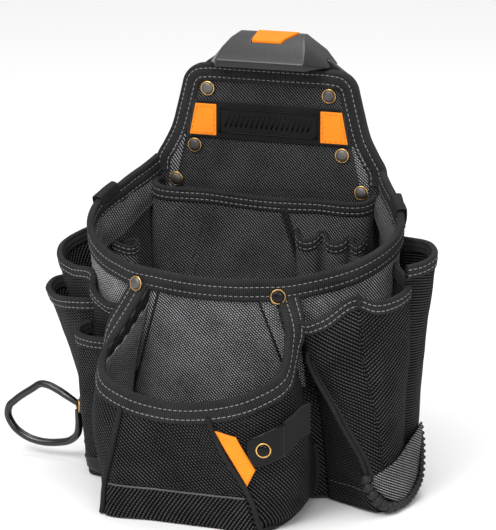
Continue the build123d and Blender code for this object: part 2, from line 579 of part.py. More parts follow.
# ---- belt hub: wedge, clip body, flap ----
FACE_Y = JAW_END + CLEAR
FACE_THICK, REAR_THICK, BELT_GAP = 4.0, 4.0, 9.0
HUB_HALF, HUB_TALL = 28.5, 78.0
HUB_HIGH = HUB_TOP_Z + 7.0
HUB_LOW = HUB_HIGH - HUB_TALL
BACK_Y = FACE_Y + FACE_THICK + BELT_GAP
front_plate = prism_y([(-HUB_HALF, HUB_LOW + 6.0), (HUB_HALF, HUB_LOW + 6.0), (HUB_HALF, HUB_HIGH), (-HUB_HALF, HUB_HIGH)],
                      FACE_Y, FACE_Y + FACE_THICK)
BACK_HALF = 33.5
rear_outline = [(BACK_HALF, HUB_LOW + 6.0), (BACK_HALF, HUB_HIGH - 2.0), (BACK_HALF - 5.0, HUB_HIGH + 5.0)]
rear_plate = prism_y(mirrored(rear_outline), BACK_Y, BACK_Y + REAR_THICK)
bridge = prism_y([(-HUB_HALF, HUB_HIGH - 5.0), (HUB_HALF, HUB_HIGH - 5.0), (HUB_HALF, HUB_HIGH), (-HUB_HALF, HUB_HIGH)],
                 FACE_Y + FACE_THICK, BACK_Y)
wedge_head = wedge_prism(0.0, DOCK_Y + 0.4, HEAD_END - 0.4)
neck = wedge_prism(-NECK - 0.2, HEAD_END - 0.4, FACE_Y)
WINDOW_R = 8.6
window_z, eyelet_z = HUB_TOP_Z - 18.0, HUB_TOP_Z - 48.0
window = disc((0, DOCK_Y, window_z), (0, 1, 0), WINDOW_R, -2, 12.4)
window -= prism_y([(-20, window_z + 4.0), (20, window_z + 4.0), (20, TALL), (-20, TALL)])
EYELET_R = 6.8
eyelet = disc((0, DOCK_Y, eyelet_z), (0, 1, 0), EYELET_R, -2, 40.0)
HINGE_Z = HUB_LOW + 2.5
HINGE_Y = FACE_Y + 3.0
BARREL_R = 2.9
barrels = None
for side in (-1, 1):
    barrel = disc((side * 15.3, HINGE_Y, HINGE_Z), (side, 0, 0), BARREL_R, 0, 13.2)
    arm = prism_z([(side * 15.3, FACE_Y), (side * 28.5, FACE_Y), (side * 28.5, FACE_Y + FACE_THICK), (side * 15.3, FACE_Y + FACE_THICK)],
                  HINGE_Z, HUB_LOW + 6.0)
    barrels = barrel + arm if barrels is None else barrels + barrel + arm
pin_hole = disc((-30.0, HINGE_Y, HINGE_Z), (1, 0, 0), 1.25, 0, 60.0)
hub = front_plate + rear_plate + bridge + barrels
keep("hub_clip", hub - pin_hole - eyelet)
keep("hub_wedge", (wedge_head + neck) - window - eyelet)
keep("hub_hinge_pin", disc((-28.4, HINGE_Y, HINGE_Z), (1, 0, 0), 1.2, 0, 56.8))
FLAP_TALL, FLAP_HALF = 17.5, 30.0
flap = prism_y([(-FLAP_HALF, HINGE_Z - 8.0), (-FLAP_HALF, HINGE_Z - 3.5), (FLAP_HALF, HINGE_Z - 3.5), (FLAP_HALF, HINGE_Z - 8.0),
                (FLAP_HALF - 9.0, HINGE_Z - 1.0 - FLAP_TALL), (9.0 - FLAP_HALF, HINGE_Z - 1.0 - FLAP_TALL)],
               HINGE_Y - 1.6, HINGE_Y + 1.6)
flap += prism_y([(-14.9, HINGE_Z - 4.0), (14.9, HINGE_Z - 4.0), (14.9, HINGE_Z), (-14.9, HINGE_Z)], HINGE_Y - 1.6, HINGE_Y + 1.6)
flap += disc((-14.9, HINGE_Y, HINGE_Z), (1, 0, 0), BARREL_R, 0, 29.8)
keep("hub_flap", flap - disc((-30.0, HINGE_Y, HINGE_Z), (1, 0, 0), 1.2 + RUN_GAP, 0, 60.0))

for name, shape in nodes.items():
    solids = shape.solids()
    export_step(solids[0] if len(solids) == 1 else Compound(children=list(solids)), f"parts/{name}.step")
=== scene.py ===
import json
import math

import bmesh
import bpy
import numpy as np
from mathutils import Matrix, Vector, noise

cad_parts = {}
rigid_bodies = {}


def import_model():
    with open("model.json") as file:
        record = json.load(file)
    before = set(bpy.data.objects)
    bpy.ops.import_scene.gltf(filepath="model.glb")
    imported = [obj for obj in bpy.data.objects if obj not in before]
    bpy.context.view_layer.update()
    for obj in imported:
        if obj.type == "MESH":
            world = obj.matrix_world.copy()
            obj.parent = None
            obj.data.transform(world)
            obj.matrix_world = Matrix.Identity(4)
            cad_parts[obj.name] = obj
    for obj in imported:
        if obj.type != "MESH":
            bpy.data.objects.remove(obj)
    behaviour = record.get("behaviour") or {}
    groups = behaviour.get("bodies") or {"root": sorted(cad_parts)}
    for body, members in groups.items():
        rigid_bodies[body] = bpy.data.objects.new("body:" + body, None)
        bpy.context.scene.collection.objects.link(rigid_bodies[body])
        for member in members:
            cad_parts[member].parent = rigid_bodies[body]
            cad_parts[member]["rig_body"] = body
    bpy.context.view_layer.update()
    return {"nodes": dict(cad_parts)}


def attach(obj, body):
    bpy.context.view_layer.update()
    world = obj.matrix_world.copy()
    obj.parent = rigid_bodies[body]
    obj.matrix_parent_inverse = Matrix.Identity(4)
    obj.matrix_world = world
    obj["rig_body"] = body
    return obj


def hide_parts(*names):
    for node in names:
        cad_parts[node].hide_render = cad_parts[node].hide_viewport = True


# Electrician tool pouch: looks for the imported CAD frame.
# Helpers and tables work in millimetres; meshes are built in metres.

MM = 0.001
STITCH_PITCH = 4.0
STITCH_LONG = 3.0
STITCH_RADIUS = 0.33
STITCH_LIFT = 0.15
CLOTH_THICK = 2.4
TAPE_THICK = 5.4
SIDES = ((-1, "left"), (1, "right"))
FORWARD = (0.0, -1.0, 0.0)

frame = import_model()


# --- materials
class Graph:
    """A Principled material with short calls for its procedural nodes."""

    def __init__(self, name, colour, rough, **sockets):
        self.material = bpy.data.materials.new(name)
        self.material.use_nodes = True
        tree = self.material.node_tree
        self.nodes, self.links = tree.nodes, tree.links
        self.shader = self.nodes["Principled BSDF"]
        self.shader.inputs["Base Color"].default_value = (*colour, 1)
        self.shader.inputs["Roughness"].default_value = rough
        for key, value in sockets.items():
            self.shader.inputs[key.replace("_", " ")].default_value = value

    def add(self, kind, inputs=(), **settings):
        node = self.nodes.new("ShaderNode" + kind)
        for key, value in settings.items():
            setattr(node, key, value)
        for key, value in dict(inputs).items():
            self.plug(value, node.inputs[key])
        return node

    def plug(self, value, socket):
        if isinstance(value, bpy.types.NodeSocket):
            self.links.new(value, socket)
        else:
            socket.default_value = value

    def maths(self, operation, *values):
        node = self.add("Math", operation=operation)
        for socket, value in zip(node.inputs, values):
            self.plug(value, socket)
        return node.outputs[0]

    def plus(self, *values):
        return self.maths("ADD", *values)

    def less(self, *values):
        return self.maths("SUBTRACT", *values)

    def times(self, *values):
        return self.maths("MULTIPLY", *values)

    def ridges(self, value):
        """Size of a sine: one ridge for each half turn."""
        return self.maths("ABSOLUTE", self.maths("SINE", value))

    def colour(self, value):
        self.plug(value, self.shader.inputs["Base Color"])

    def rough(self, value):
        self.plug(value, self.shader.inputs["Roughness"])

    def noise(self, where, scale, detail=2.0):
        node = self.add("TexNoise", {"Vector": where, "Scale": scale, "Detail": detail})
        return node.outputs["Fac"]

    def ramp(self, value, stops):
        node = self.add("ValToRGB", {"Fac": value})
        elements = node.color_ramp.elements
        while len(elements) < len(stops):
            elements.new(0.5)
        for element, (place, colour) in zip(elements, stops):
            element.position = place
            element.color = (*colour, 1)
        return node.outputs["Color"]

    def bump(self, height, strength, distance=0.0006):
        node = self.add("Bump", {"Height": height, "Strength": strength, "Distance": distance})
        self.links.new(node.outputs["Normal"], self.shader.inputs["Normal"])

    def uv(self):
        split = self.add("SeparateXYZ", {"Vector": self.add("UVMap", uv_map="cloth").outputs["UV"]})
        return split.outputs[0], split.outputs[1]

    def place(self):
        return self.add("TexCoord").outputs["Object"]


def grey(value, tint=1.03):
    return (value, value, value * tint)


def woven(name, low, high, pitch, angle=45.0):
    """Coarse twill: slanted ridges, each broken into short yarn floats, coloured with painted highlight on
    the yarn tops and painted shade between them.
    """
    rough = 0.72
    g = Graph(name, grey(low), rough, Specular_IOR_Level=0.06, Sheen_Weight=0.005, Sheen_Roughness=0.5)
    u, v = g.uv()
    turn = math.radians(angle)
    scale = math.pi / (pitch * MM)
    run, rise = math.cos(turn) * scale, math.sin(turn) * scale
    across = g.plus(g.times(u, run), g.times(v, rise))
    along = g.less(g.times(v, run), g.times(u, rise))
    row = g.maths("FLOOR", g.maths("DIVIDE", across, math.pi))
    yarn = g.ridges(g.plus(along, g.times(row, math.pi / 2)))
    height = g.times(g.maths("POWER", g.ridges(across), 0.8), g.plus(0.72, g.times(yarn, 0.28)))
    broad = g.plus(0.6, g.times(g.noise(g.place(), 38.0), 0.8))
    glint_fleck = g.noise(g.place(), 1100.0, 1.0)
    mottle = g.times(broad, g.plus(0.45, g.times(glint_fleck, 1.1)))
    # Colour follows the yarn height: painted highlight on the yarn tops, painted shade in the gaps, and the
    # fine flecks are painted glints over the broad random tone.
    tone = g.times(g.maths("POWER", height, 2.8), mottle)
    g.colour(g.ramp(tone, [(0.0, grey(low * 0.2)), (0.3, grey(low)), (1.0, grey(high))]))
    g.rough(g.less(rough + 0.12, g.times(height, 0.2)))
    g.bump(height, 0.9)
    return g.material


def grosgrain(name, low, high, pitch=1.5):
    """Binding tape: fine ribs across its length, with a soft nap, and painted highlight on the rib tops with
    painted shade between them.
    """
    g = Graph(name, grey(low), 0.8, Specular_IOR_Level=0.1, Sheen_Weight=0.02, Sheen_Roughness=0.45)
    u, v = g.uv()
    rib = g.ridges(g.times(u, math.pi / (pitch * MM)))
    cross = g.ridges(g.times(v, math.pi / (0.9 * MM)))
    height = g.plus(g.times(rib, 0.75), g.times(cross, 0.25))
    nap = g.noise(g.place(), 900.0, 2.0)
    patch = g.noise(g.place(), 45.0)
    mottle = g.plus(0.45, g.times(g.plus(nap, patch), 0.55))
    # Lighter rib tops and darker grooves are painted highlight and painted shade; the nap and patch noise is
    # random tone.
    tone = g.times(g.plus(0.3, g.times(height, 0.7)), mottle)
    g.colour(g.ramp(tone, [(0.0, grey(low * 0.5)), (0.5, grey(low)), (1.0, grey(high))]))
    g.bump(g.plus(height, g.times(nap, 0.6)), 0.6, 0.0004)
    return g.material


def thread(name, tone):
    """Twisted sewing thread, with painted shade in the grooves of its twist."""
    g = Graph(name, grey(tone, 1.0), 0.6, Specular_IOR_Level=0.3, Sheen_Weight=0.1)
    place = g.place()
    twist = g.add("TexWave", {"Vector": place, "Scale": 900.0, "Distortion": 2.0}, bands_direction="DIAGONAL")
    # The darker bands are painted shade in the grooves of the twist.
    shade = g.ramp(twist.outputs["Fac"], [(0.0, grey(tone * 0.45, 1.0)), (1.0, grey(tone, 1.0))])
    g.colour(shade)
    g.bump(twist.outputs["Fac"], 0.5, 0.0002)
    return g.material


def moulded(name, colour, rough, grain=0.25, scale=900.0, gloss=0.5):
    """Injection-moulded plastic or rubber with fine grain and slight wear."""
    g = Graph(name, colour, rough, Specular_IOR_Level=gloss)
    place = g.place()
    fine = g.noise(place, scale, 3.0)
    broad = g.noise(place, 30.0, 3.0)
    dim = tuple(c * 0.78 for c in colour)
    lit = tuple(min(1.0, c * 1.18 + 0.004) for c in colour)
    g.colour(g.ramp(broad, [(0.25, dim), (0.5, colour), (0.8, lit)]))
    spread = g.plus(rough - 0.08, g.times(g.plus(fine, broad), 0.09))
    g.rough(spread)
    g.bump(fine, grain, 0.0002)
    return g.material


def painted_shade_by_height(name, foot, head, low, high):
    """Moulded black with painted shade: it darkens from one height of the object down to another."""
    g = Graph(name, grey(high), 0.3)
    place = g.place()
    z = g.add("SeparateXYZ", {"Vector": place}).outputs[2]
    rise = g.maths("DIVIDE", g.less(z, foot * MM), (head - foot) * MM)
    cloud = g.times(g.noise(place, 30.0, 3.0), 0.25)
    shade = g.ramp(g.plus(rise, cloud), [(0.1, grey(low)), (0.55, grey((low + high) / 2)), (1.1, grey(high))])
    g.colour(shade)
    fine = g.noise(place, 900.0, 3.0)
    g.rough(g.plus(0.24, g.times(fine, 0.1)))
    g.bump(fine, 0.25, 0.0002)
    return g.material


def metal(name, colour, rough, scale=260.0):
    """Metal with light scuffs and tarnish."""
    g = Graph(name, colour, rough, Metallic=1.0)
    place = g.place()
    scuff = g.noise(place, scale, 4.0)
    tarnish = g.noise(place, 60.0, 3.0)
    dim = tuple(c * 0.5 for c in colour)
    g.colour(g.ramp(tarnish, [(0.3, dim), (0.6, colour)]))
    g.rough(g.plus(rough - 0.08, g.times(scuff, 0.2)))
    g.bump(scuff, 0.15, 0.0002)
    return g.material


LOOKS = {
    "tape": grosgrain("tape", 0.006, 0.032),
    "backing": grosgrain("backing", 0.01, 0.04, pitch=2.2),
    "tape_plain": moulded("tape_plain", grey(0.018), 0.85, grain=1.0, scale=1100.0, gloss=0.1),
    # A light grey for the kick band's fold: a painted highlight along its edge.
    "fold_highlight": moulded("fold_highlight", grey(0.09), 0.8, grain=1.0, scale=1400.0, gloss=0.1),
    "strap_weave": moulded("strap_weave", grey(0.008), 0.5, grain=0.8, scale=1200.0, gloss=0.15),
    "thread": thread("thread", 0.34),
    "dark_thread": thread("dark_thread", 0.012),
    "hem_thread": thread("hem_thread", 0.14),
    "orange_thread": moulded("orange_thread", (0.80, 0.235, 0.012), 0.6, gloss=0.2),
    "base_fabric": moulded("base_fabric", grey(0.02), 0.8, grain=0.8, scale=500.0),
    "black_polymer": moulded("black_polymer", grey(0.022), 0.30),
    "orange_polymer": moulded("orange_polymer", (0.93, 0.25, 0.007), 0.45, gloss=0.25),
    # The hood's height gradient is painted shade standing in for the light on its curved faces.
    "hood_painted_shade": painted_shade_by_height("hood_painted_shade", 312.0, 337.0, 0.006, 0.03),
    "button_orange": moulded("button_orange", (0.88, 0.215, 0.005), 0.45, gloss=0.2),
    "label_black": moulded("label_black", grey(0.0025), 0.35, gloss=0.15),
    "gloss_black": moulded("gloss_black", grey(0.002), 0.2, grain=0.05, gloss=0.2),
    "rubber": moulded("rubber", grey(0.014), 0.5, grain=0.5, scale=500.0, gloss=0.3),
    "brass": metal("brass", (0.85, 0.50, 0.18), 0.3),
    "rivet_grey": metal("rivet_grey", (0.16, 0.152, 0.145), 0.5),
    "rivet_dark": metal("rivet_dark", (0.03, 0.03, 0.032), 0.3),
    "black_steel": moulded("black_steel", grey(0.004), 0.2, grain=0.05, gloss=0.6),
    "steel": metal("steel", (0.55, 0.55, 0.56), 0.3),
}
for weave, *tones_pitch_and_angle in (
    ("black_weave", 0.003, 0.062, 2.4),
    ("left_weave", 0.003, 0.082, 2.4, 35.0),
    ("plate_weave", 0.014, 0.115, 1.9),
    ("kick_weave", 0.003, 0.066, 2.5, -38.0),
    ("side_weave", 0.003, 0.052, 2.1, 86.0),
    ("bag_weave", 0.003, 0.062, 2.4, -55.0),
    ("grey_weave", 0.03, 0.40, 2.0),
    # A brighter copy of the same grey cloth: painted light for the lit flanks and the left lining.
    ("grey_weave_lit", 0.04, 0.56, 2.0),
    ("web_weave", 0.03, 0.22, 2.2, 20.0),
    ("patch", 0.03, 0.36, 1.9, 66.0),
    ("lining", 0.022, 0.2, 2.0),
):
    LOOKS[weave] = woven(weave, *tones_pitch_and_angle)


# --- curve helpers
def smooth(points, steps):
    """Smooth open curve through points, with that many steps in each span."""
    p = np.asarray(points, float)
    gap = np.maximum(np.linalg.norm(np.diff(p, axis=0), axis=1), 1e-6)
    slope = np.diff(p, axis=0) / gap[:, None]
    tangent = np.empty_like(p)
    tangent[0], tangent[-1] = slope[0], slope[-1]
    weight = (gap[:-1] / (gap[:-1] + gap[1:]))[:, None]
    tangent[1:-1] = slope[:-1] * (1 - weight) + slope[1:] * weight
    out = []
    for i in range(len(p) - 1):
        for t in np.arange(steps) / steps:
            a, b = 2 * t**3 - 3 * t**2 + 1, t**3 - 2 * t**2 + t
            c, d = 3 * t**2 - 2 * t**3, t**3 - t**2
            out.append(a * p[i] + b * gap[i] * tangent[i] + c * p[i + 1] + d * gap[i] * tangent[i + 1])
    out.append(p[-1])
    return np.array(out)


def loft(rows, across, up):
    """Grid (columns, rows, xyz) through rows of control points."""
    lines = np.array([smooth(row, across) for row in rows])
    return np.array([smooth(lines[:, i], up) for i in range(lines.shape[1])])


def unit(v):
    return v / np.maximum(np.linalg.norm(v, axis=-1, keepdims=True), 1e-9)


def normals_of(grid):
    return unit(np.cross(np.gradient(grid, axis=0), np.gradient(grid, axis=1)))


def lengths(line):
    return np.concatenate([[0.0], np.cumsum(np.linalg.norm(np.diff(line, axis=0), axis=1))])


def resample(line, at, *extra):
    """Points, and any matching arrays, at distances along a line."""
    s = lengths(line)
    return [np.stack([np.interp(at, s, a[:, k]) for k in range(3)], -1) for a in (line, *extra)]


def evenly(line, step):
    """Points about a step apart along a line."""
    line = np.asarray(line)
    full = lengths(line)[-1]
    return resample(line, np.linspace(0, full, int(full / step)))[0]


def rumple(grid, amount, size, seed, fade=10.0):
    """Push a grid in and out along its normals by smooth noise, still at its borders."""
    n = normals_of(grid)
    nu, nv = grid.shape[:2]
    across = lengths(grid[:, nv // 2])
    up = lengths(grid[nu // 2])
    out = grid.copy()
    for i in range(nu):
        side = min(1.0, min(across[i], across[-1] - across[i]) / fade)
        for j in range(nv):
            edge = side * min(1.0, min(up[j], up[-1] - up[j]) / fade)
            p = grid[i, j]
            wave = noise.noise(Vector((p[0] / size + seed, p[1] / size, p[2] / size * 0.55)))
            fine = noise.noise(Vector((p[0] / size * 2.7, p[1] / size * 2.7 + seed, p[2] / size * 1.9)))
            out[i, j] += n[i, j] * edge * (amount * (wave + 0.35 * fine))
    return out


# --- mesh helpers
def make(name, verts, faces, look, body="pouch", slot=None, uvs=None, node=None):
    """Smooth mesh object from millimetre points, riding on a body and standing for a node."""
    mesh = bpy.data.meshes.new(name)
    mesh.from_pydata([tuple(v) for v in np.asarray(verts) * MM], [], faces)
    if uvs is not None:
        layer = mesh.uv_layers.new(name="cloth")
        loops = np.empty(len(mesh.loops), int)
        mesh.loops.foreach_get("vertex_index", loops)
        layer.data.foreach_set("uv", (np.asarray(uvs)[loops] * MM).ravel())
    mesh.polygons.foreach_set("use_smooth", [True] * len(mesh.polygons))
    mesh.materials.append(LOOKS[look])
    mesh.validate()
    obj = bpy.data.objects.new(name, mesh)
    bpy.context.scene.collection.objects.link(obj)
    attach(obj, body)
    if node:
        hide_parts(node)
    return obj


def cloth_uv(grid, fold_at=None):
    """Flat cloth lengths of a grid: along each row from one column, and up each column."""
    nu, nv = grid.shape[:2]
    middle = nu // 2 if fold_at is None else fold_at
    uv = np.zeros((nu, nv, 2))
    for i in range(nu):
        uv[i, :, 1] = lengths(grid[i]) + grid[i, 0, 2]
    for j in range(nv):
        s = lengths(grid[:, j])
        uv[:, j, 0] = s - s[middle]
    if fold_at is not None:
        uv[..., 0] = np.abs(uv[..., 0])
    return uv


def quads(nu, nv, start=0, turn=False):
    faces = []
    for i in range(nu - 1):
        for j in range(nv - 1):
            a = start + i * nv + j
            f = (a, a + nv, a + nv + 1, a + 1)
            faces.append(f[::-1] if turn else f)
    return faces


def shell(name, grid, look, thick=CLOTH_THICK, fold_at=None, upright=None, **where):
    """A closed sheet of cloth whose outer face is the grid."""
    nu, nv = grid.shape[:2]
    inner = grid - normals_of(grid) * thick
    uv = cloth_uv(grid, fold_at)
    if upright is not None:
        uv[..., 0] = uv[:, upright, 0][:, None]
        uv[..., 1] = grid[..., 2]
    uv = uv.reshape(-1, 2)
    count = nu * nv
    faces = quads(nu, nv) + quads(nu, nv, count, turn=True)
    ring = [i * nv for i in range(nu)]
    ring += [(nu - 1) * nv + j for j in range(1, nv)]
    ring += [i * nv + nv - 1 for i in range(nu - 2, -1, -1)]
    ring += list(range(nv - 2, 0, -1))
    for a, b in zip(ring, ring[1:] + ring[:1]):
        faces.append((a, a + count, b + count, b))
    verts = np.concatenate([grid.reshape(-1, 3), inner.reshape(-1, 3)])
    return make(name, verts, faces, look, uvs=np.concatenate([uv, uv]), **where)


def circle(centre, side, other, radius, sides, squash=1.0):
    """Points round a centre, squashed along the second direction."""
    turns = [2 * math.pi * a / sides for a in range(sides)]
    return [centre + radius * (side * math.cos(t) + other * math.sin(t) * squash) for t in turns]


def ring_faces(count, sides, start=0):
    """Faces between rings of vertices that follow each other."""
    faces = []
    for first in range(start, start + (count - 1) * sides, sides):
        for a in range(sides):
            b = (a + 1) % sides
            faces.append((first + a, first + b, first + sides + b, first + sides + a))
    return faces


def end_faces(count, sides, start=0):
    """Faces over the first and the last ring."""
    last = start + (count - 1) * sides
    return [tuple(range(start, start + sides))[::-1], tuple(range(last, last + sides))]


def tube_mesh(path, radius, sides, squash=1.0):
    """Vertices, faces and cloth lengths of a tube; radius is a number or one per point."""
    path = np.asarray(path, float)
    radius = np.broadcast_to(radius, len(path))
    tangent = unit(np.gradient(path, axis=0))
    side = np.cross(tangent[0], (0.0, 0.0, 1.0))
    if np.linalg.norm(side) < 0.1:
        side = np.cross(tangent[0], (0.0, 1.0, 0.0))
    side = unit(side)
    verts, uvs = [], []
    for point, along, r, s in zip(path, tangent, radius, lengths(path)):
        side = unit(side - along * side.dot(along))
        verts += circle(point, side, np.cross(along, side), r, sides, squash)
        uvs += [(s, r * (2 * math.pi * a / sides)) for a in range(sides)]
    return verts, ring_faces(len(path), sides) + end_faces(len(path), sides), uvs


# Along a stitch: share of its length, how far it sinks, share of its full width.
STITCH_PROFILE = [(0.0, -0.55, 0.55), (0.16, 0.0, 1.0), (0.84, 0.0, 1.0), (1.0, -0.55, 0.55)]
STITCH_SIDES = 6


def stitch_parts(line, out):
    """Raised thread dashes along a line; out is the outward direction at each point."""
    verts, faces = [], []
    full = lengths(line)[-1]
    count = max(1, int(full / STITCH_PITCH))
    for k in range(count):
        first = full / count * k + 0.7
        at = np.array([first + STITCH_LONG * share for share, _, _ in STITCH_PROFILE])
        points, ups = resample(line, at, out)
        along = unit(points[-1:] - points[:1])[0]
        start = len(verts)
        for (_, sink, wide), point, up in zip(STITCH_PROFILE, points, unit(ups)):
            side = unit(np.cross(along, up))
            centre = point + up * (STITCH_LIFT + sink * STITCH_RADIUS)
            verts += circle(centre, side, up, wide * STITCH_RADIUS, STITCH_SIDES, 0.8)
        faces += ring_faces(len(STITCH_PROFILE), STITCH_SIDES, start)
        faces += end_faces(len(STITCH_PROFILE), STITCH_SIDES, start)
    return verts, faces


def gather(parts):
    verts, faces = [], []
    for v, f in parts:
        base = len(verts)
        verts.extend(v)
        faces.extend(tuple(i + base for i in face) for face in f)
    return verts, faces


def tubes(name, pipes, look, **where):
    """One piece of several tube meshes."""
    verts, faces = gather([pipe[:2] for pipe in pipes])
    return make(name, verts, faces, look, uvs=np.concatenate([pipe[2] for pipe in pipes]), **where)


def tube(name, path, radius, look, sides, **where):
    return tubes(name, [tube_mesh(path, radius, sides)], look, **where)


def stitching(name, lines, look="thread"):
    """One piece of several stitch lines, each (points, outward directions)."""
    return make(name, *gather([stitch_parts(line, out) for line, out in lines]), look)


def all_along(line, direction):
    """The same direction at every point of a line."""
    return np.tile(direction, (len(line), 1))


def square_on(edge, down, out):
    """Turn the tape's directions to lie square to its edge."""
    along = unit(np.gradient(edge, axis=0))
    down = unit(down - along * np.sum(down * along, axis=1, keepdims=True))
    out = unit(out - along * np.sum(out * along, axis=1, keepdims=True))
    return down, unit(out - down * np.sum(out * down, axis=1, keepdims=True))


def binding(name, edge, down, out, width, rows, thick=TAPE_THICK, node=None, inner=False):
    """Tape folded over an edge, puckered between its stitch rows, with its stitches."""
    half = thick / 2
    marks = [0.0, *rows, width]

    def face_at(d):
        """How far the tape's face stands out at a depth below the edge."""
        a, b = next(pair for pair in zip(marks, marks[1:]) if pair[0] <= d <= pair[1])
        pillow = math.sin(math.pi * (d - a) / (b - a))
        return half - 0.55 + 0.75 * pillow * min(1.0, (b - a) / 6.0)

    depths = np.linspace(width, 0.9, 14)
    profile = [(d, face_at(d)) for d in depths]
    profile += [(0.35, half * 0.72), (0.0, half * 0.3), (0.0, -half * 0.3), (0.35, -half * 0.72)]
    profile += [(d, -face_at(d)) for d in depths[::-1]]
    along = lengths(edge)
    around = lengths(np.array([(d, n, 0.0) for d, n in profile]))
    verts, uvs = [], []
    for k in range(len(edge)):
        pucker = 0.25 * math.sin(along[k] * 2 * math.pi / (2 * STITCH_PITCH))
        for (d, n), v in zip(profile, around):
            soft = pucker if 1.0 < d < width - 1.0 else 0.0
            verts.append(edge[k] + down[k] * d + out[k] * (n + math.copysign(soft, n) * 0.4))
            uvs.append((along[k], v))
    faces = ring_faces(len(edge), len(profile))
    faces += [face[::-1] for face in end_faces(len(edge), len(profile))]
    make(name, verts, faces, "tape", uvs=uvs, node=node)
    lines = []
    for d in rows:
        lines.append((edge + down * d + out * (half - 0.5), out))
        if inner:
            lines.append((edge + down * d - out * (half - 0.5), -out))
    stitching(name + "_stitches", lines)


def even_rim(grid, step=2.0):
    """Even points along a grid's top row, with their downward and outward directions."""
    out = normals_of(grid)[:, -1]
    down = unit(grid[:, -4] - grid[:, -1])
    edge = grid[:, -1] - down * 0.5 - out * (CLOTH_THICK / 2)
    full = lengths(edge)[-1]
    edge, down, out = resample(edge, np.linspace(0, full, max(8, int(full / step))), down, out)
    return edge, unit(down), unit(out)


def lathe(centre, axis, profile, sides=28):
    """Vertices and faces of a turned part; its profile is (radius, height)."""
    axis = unit(np.asarray(axis, float))
    side = unit(np.cross(axis, (0.0, 0.31, 0.95)))
    other = np.cross(axis, side)
    verts = []
    for radius, height in profile:
        verts += circle(centre + axis * height, side, other, radius, sides)
    faces = ring_faces(len(profile), sides)
    if profile[-1] != profile[0]:
        faces += end_faces(len(profile), sides)
    return verts, faces


def hoop(radius, height, wire):
    """Profile of a round wire bent into a ring."""
    turns = np.linspace(0, 2 * math.pi, 13)
    return [(radius + wire * math.cos(a), height + wire * math.sin(a)) for a in turns]


def join_parts(name, parts, look, **where):
    return make(name, *gather(parts), look, **where)


def softened(node, width, look):
    """A copy of a hard CAD node with rounded edges, standing for it."""
    source = frame["nodes"][node]
    name = node + "_rounded"
    mesh = source.data.copy()
    mesh.name = name
    work = bmesh.new()
    work.from_mesh(mesh)
    bmesh.ops.remove_doubles(work, verts=work.verts, dist=2e-6)
    bmesh.ops.dissolve_limit(work, angle_limit=math.radians(1.5), verts=work.verts, edges=work.edges)
    work.to_mesh(mesh)
    work.free()
    mesh.materials.clear()
    mesh.materials.append(LOOKS[look])
    obj = bpy.data.objects.new(name, mesh)
    bpy.context.scene.collection.objects.link(obj)
    bevel = obj.modifiers.new("round", "BEVEL")
    bevel.width = width * MM
    bevel.segments = 3
    bevel.limit_method = "ANGLE"
    bevel.angle_limit = math.radians(24)
    bevel.use_clamp_overlap = True
    bevel.harden_normals = False
    mesh.polygons.foreach_set("use_smooth", [True] * len(mesh.polygons))
    even = obj.modifiers.new("even", "WEIGHTED_NORMAL")
    even.keep_sharp = False
    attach(obj, source["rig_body"])
    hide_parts(node)


# --- main body
RIM_WIDE, RIM_DEEP = 129.0, 80.5
BASE_WIDE, BASE_DEEP = 115.0, 62.0
RIM_LEVEL = 190.0
REAR = (95.0, 60.0)


def rim_z(y):
    """Height of the main rim's top edge."""
    return 217.0 + 0.43 * (y - 17.0) + 0.00012 * (y - 60.0) * (y + 80.0)


PINCH_TURN = (0.45, 0.9, 1.1, 1.35, 1.7, 2.0)
PINCH = {-1: (0.0, 8.0, 11.5, 13.0, 7.5, 0.0), 1: (0.0, 2.0, 4.0, 6.5, 3.5, 0.0)}


def body_point(side, turn, z):
    """Point on the main body: turn 0 is the middle of the front, 1 the side, 2 the back panel."""
    x, y = body_hoop(side, turn, z)
    return x - side * float(np.interp(turn, PINCH_TURN, PINCH[side])) * min(1.0, z / RIM_LEVEL), y


def body_hoop(side, turn, z):
    """The body's plain outline before its sides are drawn in."""
    f = z / RIM_LEVEL
    wide = BASE_WIDE + (RIM_WIDE - BASE_WIDE) * f
    deep = BASE_DEEP + (RIM_DEEP - BASE_DEEP) * f
    if turn <= 1.0:
        a = turn * math.pi / 2
        return side * wide * math.sin(a), -deep * math.cos(a)
    t = turn - 1.0
    pull = np.array([(wide, 0.0), (wide, 24.0), (REAR[0] + 13.0, 42.0), REAR])
    b = [(1 - t) ** 3, 3 * t * (1 - t) ** 2, 3 * t * t * (1 - t), t**3]
    x, y = sum(k * p for k, p in zip(b, pull))
    return side * x, y


def body_grid(side, turns, low, top_of, rows):
    """Grid of the main body between two heights; each turn is a function of height."""
    grid = np.zeros((len(turns), rows, 3))
    for i, turn in enumerate(turns):
        z_low = low[i] if np.ndim(low) else low
        for j in range(rows):
            x, y = body_point(side, turn(0.0), z_low)
            for _ in range(2):
                top = top_of(y) if callable(top_of) else top_of[i]
                z = z_low + (top - z_low) * j / (rows - 1)
                x, y = body_point(side, turn(z), z)
            grid[i, j] = (x, y, z)
    return grid


def near_rim(side, turn, drop=0.0):
    """Point on the main body at its rim, or a drop below it."""
    z = rim_z(body_point(side, turn, RIM_LEVEL)[1]) - drop
    return (*body_point(side, turn, z), z)


SEAM_FOOT, SEAM_LEAN, SEAM_WIDEST = 91.3, 0.323, 68.0


def seam_turn(z):
    """How far round the front the slanted seam lies, at a height."""
    x = min(SEAM_FOOT - SEAM_LEAN * z, SEAM_WIDEST)
    wide = BASE_WIDE + (RIM_WIDE - BASE_WIDE) * z / RIM_LEVEL
    return math.asin(min(0.99, x / wide)) / (math.pi / 2)


